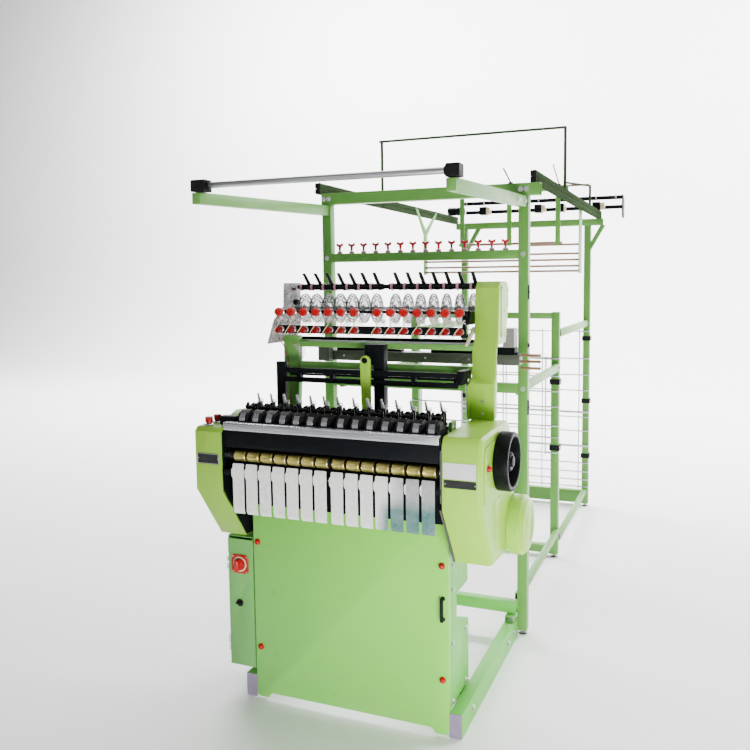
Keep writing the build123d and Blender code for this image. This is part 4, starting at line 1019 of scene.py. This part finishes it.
# -------------------------------------------------------------- delivery plates
m = Maker()
ears = Maker()
for x in STATIONS:
    rows = [(866.4, FRONT - 1.0, 17.5), (866, FRONT - 1.5, 19.2), (864.5, FRONT - 1.8, 20.2), (862, FRONT - 2.3, 20.5), (852, FRONT - 4, 20.5), (846, FRONT - 4.0, 20.5),
            (780, FRONT - 4, 20.5), (716, FRONT - 4, 20.5)]
    for k in range(7):
        z = 711.5 - 11.5 * k / 6
        inset = 3.2 - math.sqrt(max(3.2 ** 2 - max(0, 703.2 - z) ** 2, 0))
        y = FRONT - 4 + (max(0, 712 - z) / 12) ** 1.3 * 5.6
        rows.append((z, y, 20.5 - inset))
    m.sheet_strip(x, rows, 1.7)
    # folded stiffening edges
    for sx in (-1, 1):
        m.rod((x + sx * 19.9, FRONT - 3.1, 850), (x + sx * 19.9, FRONT - 3.1, 722), 0.75, 8, 0.3)
    # hinge ear with its pin
    ears.profile(rounded([(x - 26.6, 826), (x - 23.4, 819), (x - 18.5, 815), (x - 18.5, 852), (x - 23.4, 850), (x - 26.6, 844)], [4, 3, 0, 0, 3, 4], 3), front(FRONT - 1.9), 1.9, 0.5)
    ears.rod((x - 24.8, FRONT + 0.4, 844), (x - 24.8, FRONT + 0.4, 827), 1.7, 10, 0.5)
m.make("plates_hanging", PLATE, "frame", "fabric_chutes", "white_plate")
ears.make("plate_ears", PORCELAIN, "frame", slot="white_plate")

m = Maker()
# studs of the hanging rail and the edge bead of the apron
for x in edges[1:-1]:
    screw_head(m, toward_front(x, 838, FRONT - 2.0), 2.6, 1.6, False)
for x in (-352, -200, 11, 210, 352):
    screw_head(m, along_z(x, FRONT + 12, 998.9), 4.2, 1.0)
m.make("apron_screws", STEEL, "frame", slot="bright_steel")

m = Maker()
m.profile(rounded([(-84.6, 757), (-84.6, 724), (-83.0, 721.5), (-80.4, 721.5), (-81.6, 724.5), (-81.6, 757)], [0, 1.5, 0.8, 0, 0.8, 0], 3), side(-378.4), 756.8, 0.4)
m.make("apron_lip", BLACK_PAINT, "frame", slot="black_paint")

# -------------------------------------------------------------- weaving heads
body, bright, white = Maker(), Maker(), Maker()
for i, x in enumerate(STATIONS):
    body.profile(rounded([(-103, 962.3), (-8, 962.3), (-8, 1006), (-26, 1012), (-80, 1012), (-103, 998)], [0.6, 0.6, 4, 4, 6, 6], 3), side(x - 21), 42, 1.2)
    # rounded nose that carries the guide, with deep shoulders
    body.profile(rounded([(-102, 996), (-102, 1012), (-92, 1027), (-74, 1036), (-58, 1034), (-50, 1010)], [1, 7, 8, 8, 6, 1], 4), side(x - 19), 38, 3.0)
    body.profile(rounded([(-96, 1008), (-88, 1024), (-70, 1032), (-54, 1030), (-50, 1008)], [1, 5, 5, 5, 1], 3), side(x + 15), 7.5, 1.6)
    # forked hook bracket behind it, with two upright horns
    fork = rounded([(x - 20, 1009), (x - 21, 1040), (x - 19, 1054), (x - 14.5, 1056), (x - 12, 1047), (x - 5, 1040), (x + 6, 1039), (x + 12, 1046), (x + 15.5, 1052),
                    (x + 20, 1049), (x + 21, 1036), (x + 20, 1009)], [1, 3, 2.5, 2, 3, 3, 3, 3, 2, 2.5, 3, 1], 3)
    body.profile(fork, front(-36), 9, 1.4)
    back = rounded([(x - 19, 1008), (x - 19, 1043), (x - 9, 1050), (x + 3, 1046), (x + 8, 1052), (x + 16, 1054), (x + 19, 1046), (x + 19, 1008)], [1, 3, 3, 3, 3, 3, 3, 1], 3)
    body.profile(back, front(-12), 12, 1.4)
    body.profile(rounded([(-46, 1008), (-46, 1030), (-40, 1038), (-14, 1040), (-14, 1008)], [1, 3, 4, 3, 1], 3), side(x - 5), 9, 1.2)
    body.rod((x - 17, -52, 1042), (x + 17, -52, 1042), 3.2, 14, 0.8)
    for dx in (-16, 12):
        body.profile(rounded([(-40, 1034), (-40, 1048), (-52, 1050), (-58, 1044), (-58, 1036), (-50, 1034)], 3, 3), side(x + dx), 4, 0.8)
    # small bright guide let into the nose
    bright.profile(rounded([(-104.2, 1002), (-103.4, 1012.6), (-93.4, 1027.6), (-89.6, 1026.4), (-99.5, 1011.4), (-100.6, 1001.6)], 1.2, 2), side(x - 10), 20, 0.8)
    for dx in (-15, 15):
        screw_head(bright, toward_front(x + dx, 988, -103.0), 2.4, 1.4)
    screw_head(bright, along_z(x, -20, 1011.0), 3.2, 1.8)
    # pale dots of the bracket's setting screws
    for dx, z in ((-2, 1031), (14.5, 1040)):
        white.lathe([(0, 2.2), (1.5, 2.0), (2.3, 1.0), (2.4, 0), (0, 0)], toward_front(x + dx, z, -45.0), 12)
body.make("heads_detail", BLACK_CAST, "frame", "head_blocks", "black_paint")
bright.make("guides_detail", STEEL_Z, "frame", "head_guides", "bright_steel")
white.make("head_screws", PORCELAIN, "frame", slot="zinc_steel")

arm, pin = Maker(), Maker()
for x in STATIONS:
    arm.tubelike([(9.1, -10), (15.6, -10), (17, -8.6), (17, 8.6), (15.6, 10), (9.1, 10)], along_x(SLEY[0], SLEY[1], x), 28)
    arm.profile(rounded([(4.5, 1012), (19.5, 1012), (17.4, 1043), (15, 1048), (9, 1048), (6.6, 1043)], [0, 0, 2, 3, 3, 2], 3), side(x - 6.5), 13, 1.2)
    arm.profile(rounded([(x - 9, 1004), (x + 9, 1004), (x + 9, 996), (x - 9, 996)], 2, 3), front(-4.0), 2.4, 0.6)
    screw_head(pin, toward_front(x, 1000, -6.2), 3.6, 2.4)
    pin.profile(rounded([(x - 11, 1048.4), (x + 11, 1048.4), (x + 11, 1051.6), (x - 11, 1051.6)], 0.8, 2), front(15.5), 7, 0.6)
    for k in range(9):
        pin.rod((x - 10 + 20 * k / 8, 12, 1051.4), (x - 10 + 20 * k / 8, 12, 1057.4), 0.5, 6, 0.1)
    pin.profile(rounded([(x - 11, 1057), (x + 11, 1057), (x + 11, 1058.8), (x - 11, 1058.8)], 0.5, 2), front(14.2), 4.4, 0.4)
    # slim round pin leaning a little, with its rounded tip
    a, b = Vector((x - 4.0, 12, 1048.0)), Vector((x - 10.5, 12, 1078.4))
    pin.rod(tuple(a), tuple(b), 4.1, 14, 1.4, 0.92)
    pin.rod(tuple(a + (b - a) * 0.42), tuple(a + (b - a) * 0.55), 4.8, 14, 0.5)
arm.make("sley_arms_detail", BLACK_CAST, "sley", "sley_arms", "black_paint")
pin.make("reeds_detail", STEEL_Z, "sley", "reed_holders", "bright_steel")

# ------------------------------------------------------------- column's fittings
m = Maker()
m.profile(rounded([(256, 1262), (256, 1437), (330, 1437), (346, 1424), (350, 1384), (312, 1262)], [6, 8, 10, 8, 8, 6], 4), side(458.8), 2.4, 0.9)
m.make("gear_head_cover", HOUSING, "frame", slot="green_paint")
m = Maker()
m.mat = 1
for y, z in ((264, 1272), (264, 1428), (334, 1420), (308, 1272), (294, 1350), (338, 1368)):
    screw_head(m, toward_right(y, z, 461.1), 4.2, 2.8)
for z in (1020, 1060):
    screw_head(m, toward_front(419, z, 170.4), 5, 3)
m.rod((366, 172, 1002), (366, 172, 1134), 3.2, 12, 0.5)
for z in (1030, 1100):
    screw_head(m, toward_left(176, z, 371.0), 4, 2.4)
m.mat = 0
m.profile(rounded([(158, 1310), (240, 1310), (240, 1352), (172, 1352), (158, 1324)], 4, 3), side(366), 13.2, 1.2)
m.make("column_brackets", [BLACK_PAINT, STEEL], "frame", slot="black_paint")

# ------------------------------------------------------------------ rails
m = Maker()
for x in (-228, -100, 200):
    for z in (1114.8, 1147):
        screw_head(m, toward_front(x, z, 114.0), 4.2, 2.6)
for z in (985, 1010, 1160):
    screw_head(m, toward_front(-298, z, 114.0), 4.6, 3)
for z in (1186, 1230):
    screw_head(m, toward_front(71, z, 129.0), 4.6, 3)
screw_head(m, toward_front(36, 1222, 129.0), 4.2, 2.6)
for x in (-320, 345):
    screw_head(m, toward_front(x, 1286, 168.0), 4.4, 2.6)
m.lathe([(0, 0), (9, 0), (9, 4), (7.5, 5.4), (0, 5.4)], toward_front(33, 1190, 101.6), 24)
m.make("rail_screws", BLACK_GLOSS, "frame", slot="black_paint")

# shed rods behind the rails, hung under them
m = Maker()
m.rod((-274, 141, 1131), (350, 141, 1131), 4, 14, 0.6)
for x in (-228, -100, 200, 340):
    m.profile(rounded([(x - 5, 1120), (x + 5, 1120), (x + 5, 1140), (x - 5, 1140)], 2, 3), front(142), 14.2, 0.8)
m.make("shed_rod", BLACK_PAINT, "frame", slot="black_paint")

# -------------------------------------------------------------- weft feeder
caps_hi, caps_lo, stems, wires, eyes, strip = Maker(), Maker(), Maker(), Maker(), Maker(), Maker()
for x in CAPS:
    caps_hi.fluted([(0, 0, 0), (11, 0, 0), (13.6, 0.5, 0), (15, 1.6, 1), (15, 12.5, 1), (14.2, 14.2, 0), (12.4, 15.6, 0), (11.6, 17.8, 0), (6.2, 18, 0), (5.4, 16.6, 0), (0, 16.6, 0)], toward_front(x, 1349, 150), 44, 1.1)
    caps_lo.fluted([(0, 0, 0), (9.6, 0, 0), (12, 0.5, 0), (13, 1.4, 1), (13, 11.5, 1), (12.2, 12.8, 0), (10.4, 14.0, 0), (9.8, 15.8, 0), (5.6, 16, 0), (5, 14.8, 0), (0, 14.8, 0)], toward_front(x, 1287, 146), 40, 1.0)
    for z, y0, r in ((1349, 171.8, 12), (1287, 167.8, 11)):
        p = toward_front(x, z, y0)
        stems.lathe([(0, 0), (4, 0), (4, y0 - 150.1 if z > 1300 else y0 - 146.1), (0, y0 - 150.1 if z > 1300 else y0 - 146.1)], p, 14)
        d0 = 11.0 if z > 1300 else 10.0
        stems.tubelike([(4.1, d0 + 1.8), (8, d0 + 1.8), (r - 0.6, d0 - 0.4), (r, d0), (r - 0.5, d0 + 0.7), (8, d0 + 3.0), (4.1, d0 + 3.0)], p, 28)
        stems.tubelike([(4.1, d0 + 3.4), (8, d0 + 3.4), (r - 0.6, d0 + 5.8), (r, d0 + 5.4), (r - 0.5, d0 + 4.8), (8, d0 + 2.6), (4.1, d0 + 2.6)], p, 28)
        for k in range(3):
            stems.ring((lambda xx, zz, yy: lambda a, b, w: (xx + a, yy - w, zz + b))(x, z, y0 - 1.6 - 2.6 * k), 5.4, 0.7, 20, 6)
    # cream drop wires in front of the lower nuts, held on the rail's lower edge
    wires.path([(x - 19, 170, 1279), (x - 19, 140, 1272), (x - 18, 126.5, 1270), (x - 10, 123.5, 1284), (x + 6, 121.5, 1303), (x + 10, 122.5, 1311), (x + 8, 126, 1316)], 1.25, 8)
    wires.ring((lambda xx: lambda a, b, w: (xx + a, 127 + w * 0.5, 1319 + b))(x + 8), 3.6, 1.1, 16, 6)
    wires.lathe([(0, 0), (3.6, 0), (3.6, 2.4), (0, 2.8)], toward_front(x - 19, 1279, 168.0), 12)
    # porcelain eyes on the clear strip between the two rows
    for dx, z in ((-9, 1326), (9, 1318)):
        eyes.tubelike([(2.6, 0), (6.2, 0), (6.8, 1.0), (6.8, 2.6), (6.0, 3.8), (4.4, 4.6), (2.9, 4.0), (2.5, 3.0)], toward_front(x + dx, z, 174.4), 20)
    strip.profile(rounded([(x - 20, 1302), (x + 20, 1302), (x + 20, 1342), (x - 20, 1342)], 3, 3), front(177), 2.4, 0.5)
caps_hi.make("upper_nuts", RED, "frame", "tension_caps", "red_plastic")
caps_lo.make("lower_nuts", DARK_RED, "frame", "tension_caps", "red_plastic")
stems.make("stems_detail", STEEL, "frame", "tension_units", "bright_steel")
wires.make("drop_wires", CREAM, "frame", slot="cream_plastic")
eyes.make("yarn_eyes", PORCELAIN, "frame", slot="white_plate")
strip.make("clear_strips", CLEAR_THIN, "frame", slot="clear_plastic")

web, rims, hubs = Maker(), Maker(), Maker()
for x in DISCS:
    p = along_x(FEED[0], FEED[1], x)
    web.tubelike([(16.5, -1.3), (50, -1.3), (50, 1.3), (16.5, 1.3)], p, 48)
    rims.tubelike([(49.6, -3.4), (52.6, -4), (54, -3.0), (54, 3.0), (52.6, 4), (49.6, 3.4), (48.8, 2.2), (48.8, -2.2)], p, 56)
    rims.tubelike([(31, -2.4), (33.6, -2.4), (33.6, 2.4), (31, 2.4)], p, 40)
    for k in range(12):
        a = 2 * math.pi * k / 12
        rims.rod((x - 5.2, FEED[0] + 42 * math.cos(a), FEED[1] + 42 * math.sin(a)), (x + 5.2, FEED[0] + 42 * math.cos(a), FEED[1] + 42 * math.sin(a)), 2.2, 10, 0.5)
    hubs.tubelike([(7.1, -8), (12, -8), (13, -7.2), (13, -3), (17, -2.4), (17, 2.4), (13, 3), (13, 7.2), (12, 8), (7.1, 8)], p, 28)
    screw_head(hubs, (lambda xx: lambda a, b, w: (xx + 5.2 + a, FEED[0] + b, FEED[1] + 12.6 + w))(x), 1.8, 1.6)
web.make("disc_webs", DISC, "weft_feed", "feed_discs", "grey_disc")
rims.make("disc_rims", DISC_RIM, "weft_feed", "feed_discs", "black_plastic")
hubs.make("disc_hubs", STEEL, "weft_feed", "feed_discs", "bright_steel")
m = Maker()
m.lathe([(0, -352), (6.4, -352), (7, -351.2), (7, 399.2), (6.4, 400), (0, 400)], along_x(FEED[0], FEED[1], 0), 24)
m.make("feed_shaft_detail", STEEL, "weft_feed", "feed_shaft", "bright_steel")

for bank, xs, cs in (("left", LEVERS[:7], [-320.6, -277.5, -229, -181, -132, -84, -36]), ("right", LEVERS[7:], [45, 94, 143, 192, 241, 290, 339])):
    x0, x1 = xs[0] - 43, xs[-1] + 16
    dark, pale = Maker(), Maker()
    dark.tubelike([(8.06, x0), (10.8, x0), (11.4, x0 + 0.8), (11.4, x1 - 0.8), (10.8, x1), (8.06, x1)], along_x(BAR[0], BAR[1], 0), 28)
    for x in xs:
        # lever: a boss on the sleeve and a flat tapered blade leaning forward
        lean = math.radians(46)
        c = Vector((0, -math.sin(lean), math.cos(lean)))
        q = Vector((0, math.cos(lean), math.sin(lean)))
        dark.tubelike([(11.2, -5.5), (12.6, -5.5), (13.2, -4.7), (13.2, 4.7), (12.6, 5.5), (11.2, 5.5)], along_x(BAR[0], BAR[1], x), 28)
        org = Vector((x, BAR[0], BAR[1]))
        blade = rounded([(8, -7.0), (34, -6.9), (71, -6.0), (71, 6.0), (34, 6.9), (8, 7.0)], [0, 4, 3, 3, 4, 0], 3)

        def place(u, v, w, o=org, cc=c, qq=q):
            pnt = o + cc * u + qq * (w - 2.8)
            return (pnt.x + v, pnt.y, pnt.z)

        dark.profile(blade, place, 5.6, 1.3)
    for x in cs:
        pale.tubelike([(11.3, -4.2), (12.8, -4.2), (13.4, -3.4), (13.4, 3.4), (12.8, 4.2), (11.3, 4.2)], along_x(BAR[0], BAR[1], x), 28)
    dark.make("levers_%s_detail" % bank, BLACK_GLOSS, "levers_" + bank, "lever_bank_" + bank, "black_plastic")
    pale.make("collars_" + bank, PALE_PINK, "levers_" + bank, slot="pink_plastic")

m = Maker()
# knob and stand-offs of the clear end plate, its brown lead and the clear gusset
m.mat = 0
m.lathe([(0, 0), (10, 0), (11, 1.5), (11, 12), (9.6, 14), (0, 14.6)], toward_right(290, 1379, -338), 24)
m.rod((-338, 284, 1428), (-329, 284, 1428), 4, 14, 0.8)
screw_head(m, toward_left(284, 1428, -344), 5, 3)
screw_head(m, toward_left(176, 1300, -344), 4.4, 2.6)
screw_head(m, toward_left(176, 1350, -344), 4.4, 2.6)
screw_head(m, toward_left(246, 1252, -344), 4.4, 2.6)
m.mat = 1
m.path([(-341, 172, 1266), (-338, 182, 1246), (-326, 190, 1222), (-318, 193.2, 1190), (-313, 193.2, 1150), (-309, 193.2, 1120), (-307, 193.2, 1084), (-303, 185, 1040), (-301, 176.5, 1000)], 2.2, 8)
m.make("end_plate_fittings", [BLACK_GLOSS, BROWN], "frame", slot="black_plastic")
m = Maker()
m.profile(rounded([(150, 1236), (234, 1236), (234, 1200), (216, 1172)], 3, 3), side(-268.5), 3, 0.6)
m.make("clear_gusset", CLEAR_THIN, "frame", slot="clear_plastic")
m = Maker()
m.profile(rounded([(236, 1233), (254, 1233), (254, 1245.6), (236, 1245.6)], 1.5, 2), side(-337), 715, 0.8)
m.make("pale_strip", TUBE_METAL, "frame", slot="grey_paint")

# --------------------------------------------------------------- yarn frame
m = Maker()
base = Maker()
for i in range(HEADS):
    x = -398 + 56.6 * i
    y = 793
    outline = [(-4.6, 1590), (4.6, 1590), (5.0, 1600), (8, 1605.5), (14.5, 1606), (15.6, 1611), (14.6, 1617.6), (11, 1618.8), (5, 1614.6), (0, 1613.6),
               (-5, 1614.6), (-11, 1618.8), (-14.6, 1617.6), (-15.6, 1611), (-14.5, 1606), (-8, 1605.5), (-5.0, 1600)]
    m.profile([(x + u, v) for u, v in outline], front(y + 4.2), 8.4, 1.6)
    m.lathe([(0, 1584), (4.4, 1584), (4.5, 1585), (4.5, 1592), (0, 1592)], along_z(x, y, 0), 16)
    base.fluted([(0, 1574.2, 0), (10.2, 1574.2, 0), (11, 1575, 1), (11, 1581.5, 1), (9.4, 1583.2, 0), (5, 1584.4, 0), (4.6, 1588, 0), (0, 1588, 0)], along_z(x, y, 0), 28, 0.7)
m.make("wing_screws", PINK, "frame", "thumb_screws", "pink_plastic")
base.make("wing_bases", PALE_PINK, "frame", slot="pink_plastic")

m = Maker()
# joint bolts of the tube frame
for x in (413, -453):
    for z in (1556, 1020):
        hex_bolt(m, toward_front(x, z, 776.9), 8, 5.5)
    hex_bolt(m, toward_front(x + 12, 1809, 776.9), 8, 5.5)
    hex_bolt(m, toward_front(x - 12, 1809, 776.9), 8, 5.5)
for x in (385, -420):
    for z in (60, 1812):
        hex_bolt(m, toward_back(x, z, 2715.1), 8, 5.5)
for x in (370, -403):
    for z in (40, 1270):
        hex_bolt(m, toward_back(x, z, 1738.1), 8, 5.5)
for y, z in ((750, 1760), (640, 1755)):
    hex_bolt(m, toward_right(y, z, 427.1), 7, 5)
    hex_bolt(m, toward_left(y, z, -469.1), 7, 5)
for y in (830, 1690):
    for z in (1007, 137):
        hex_bolt(m, toward_right(y, z, 394.1), 7, 5)
        hex_bolt(m, toward_left(y, z, -423.1), 7, 5)
for y in (1750, 2660):
    for z in (1181, 99):
        hex_bolt(m, toward_right(y, z, 394.1), 7, 5)
        hex_bolt(m, toward_left(y, z, -423.1), 7, 5)
for y in (797, 2695, 1502, 2000, 2100):
    if y in (797, 2695):
        for x in (452, -493):
            hex_bolt(m, along_z(x, y, 1879.4), 6, 4.4)
m.make("frame_bolts", ZINC, "frame", slot="zinc_steel")

m = Maker()
# black clips on the right front post, little slanting guides on the beams
m.mat = 0
for z0, z1 in ((1378, 1434), (1186, 1204), (916, 974)):
    m.profile(rounded([(776, z0), (790, z0), (790, z1), (776, z1)], 2.5, 3), side(433.1), 4, 0.8)
    m.rod((435, 783, (z0 + z1) / 2), (441, 783, (z0 + z1) / 2), 3, 12, 0.6)
for x, y, z in ((357, 797, 1833.2), (420, 1502, 1904.2)):
    m.profile(rounded([(x - 9, y - 7), (x + 9, y - 7), (x + 9, y + 7), (x - 9, y + 7)], 3, 3), upright(z), 7, 1.2)
m.mat = 1
m.rod((357, 797, 1839), (327, 797, 1897), 3.0, 12, 0.6)
m.rod((420, 1502, 1910), (391, 1502, 2004), 3.0, 12, 0.6)
m.make("post_clips", [BLACK_MATTE, CHANNEL_GREEN], "frame", slot="black_plastic")

m = Maker()
m.rod((345, 2200, 1986), (462, 2200, 1986), 5.5, 14, 0.8)
for z in (1166, 1142, 1116):
    m.rod((430.2, 672, z), (508, 672, z), 5.5, 14, 0.8)
m.make("short_rods", BROWN, "frame", slot="brown_rod")

m = Maker()
m.mat = 0
m.profile(rounded([(366, 1196), (410, 1196), (410, 1270), (366, 1270)], 4, 3), front(700), 58, 1.5)
m.mat = 1
m.profile(rounded([(330, 1168.2), (412, 1168.2), (412, 1196), (330, 1196)], 4, 3), front(698), 54, 1.5)
# dark wedges lying on the grey bar
for x0, x1, tip in ((-352, -318, -60), (66, 110, 420)):
    m.profile(rounded([(x0, 1168.2), (x0, 1206), (x1, 1206), (x1 + 6, 1192), (tip, 1176), (tip, 1168.2)], [1, 3, 3, 3, 1, 1], 3), front(690), 34, 1.5)
m.mat = 2
for x in (-310, -130, 50, 230):
    screw_head(m, toward_front(x, 1148, 640), 4.4, 2.6)
m.make("stop_unit_parts", [UNIT_GREY, BLACK_PAINT, STEEL], "frame", slot="black_paint")

m = Maker()
m.mat = 0
for y0, y1, z0, z1 in ((2600, 2616, 1940, 1962), (2680, 2696, 1890, 1912)):
    m.profile(rounded([(y0, z0), (y1, z0), (y1, z1), (y0, z1)], 2, 3), side(-410), 1010, 1.0)
m.profile(rounded([(2590, 1830), (2700, 1830), (2700, 1940), (2640, 1966), (2590, 1966)], 5, 3), side(600.2), 5.8, 1.0)
for x in (-300, 60, 200, 420):
    m.profile(rounded([(2617, 1880), (2679, 1880), (2679, 1918), (2665, 1930), (2617, 1930)], 4, 3), side(x), 46, 1.5)
m.lathe([(0, -520), (22, -520), (25, -518), (26, -515), (26, -470), (24, -468), (24, -462), (26, -460), (26, -414), (25, -411), (0, -410.4)], along_x(2650, 1910, 0), 36)
m.mat = 1
for x in (-256, 104, 230, 470):
    m.profile(rounded([(2619, 1884), (2677, 1884), (2677, 1914), (2619, 1926)], 4, 3), side(x), 22, 1.2)
m.mat = 2
for k in range(9):
    x = -380 + 118 * k
    m.tubelike([(2.0, 0), (5.2, 0), (5.8, 0.8), (5.2, 2.4), (2.0, 2.4)], toward_front(x, 1951, 2600), 16)
m.make("measuring_unit", [BLACK_PAINT, BEIGE, STEEL], "frame", "rear_yarn_unit", "black_paint")

m = Maker()
# split clamps of the wire racks and end eyes of the brown rods
for x, y, z in ((370, 1718, 930), (370, 1718, 585), (-403, 1718, 930), (-403, 1718, 585), (385, 2695, 1085), (385, 2695, 685), (385, 2695, 330),
                (-420, 2695, 1085), (-420, 2695, 685), (-420, 2695, 330)):
    hex_bolt(m, toward_right(y - 14, z, x + 26.1), 5.5, 4.4)
    hex_bolt(m, toward_right(y + 14, z, x + 26.1), 5.5, 4.4)
for z in (1504, 1532, 1566, 1600, 1650):
    m.tubelike([(6.1, 428), (9.6, 428), (10.2, 428.8), (10.2, 435.2), (9.6, 436), (6.1, 436)], along_x(2080, z, 0), 20)
m.make("clamp_bolts", ZINC, "frame", slot="zinc_steel")
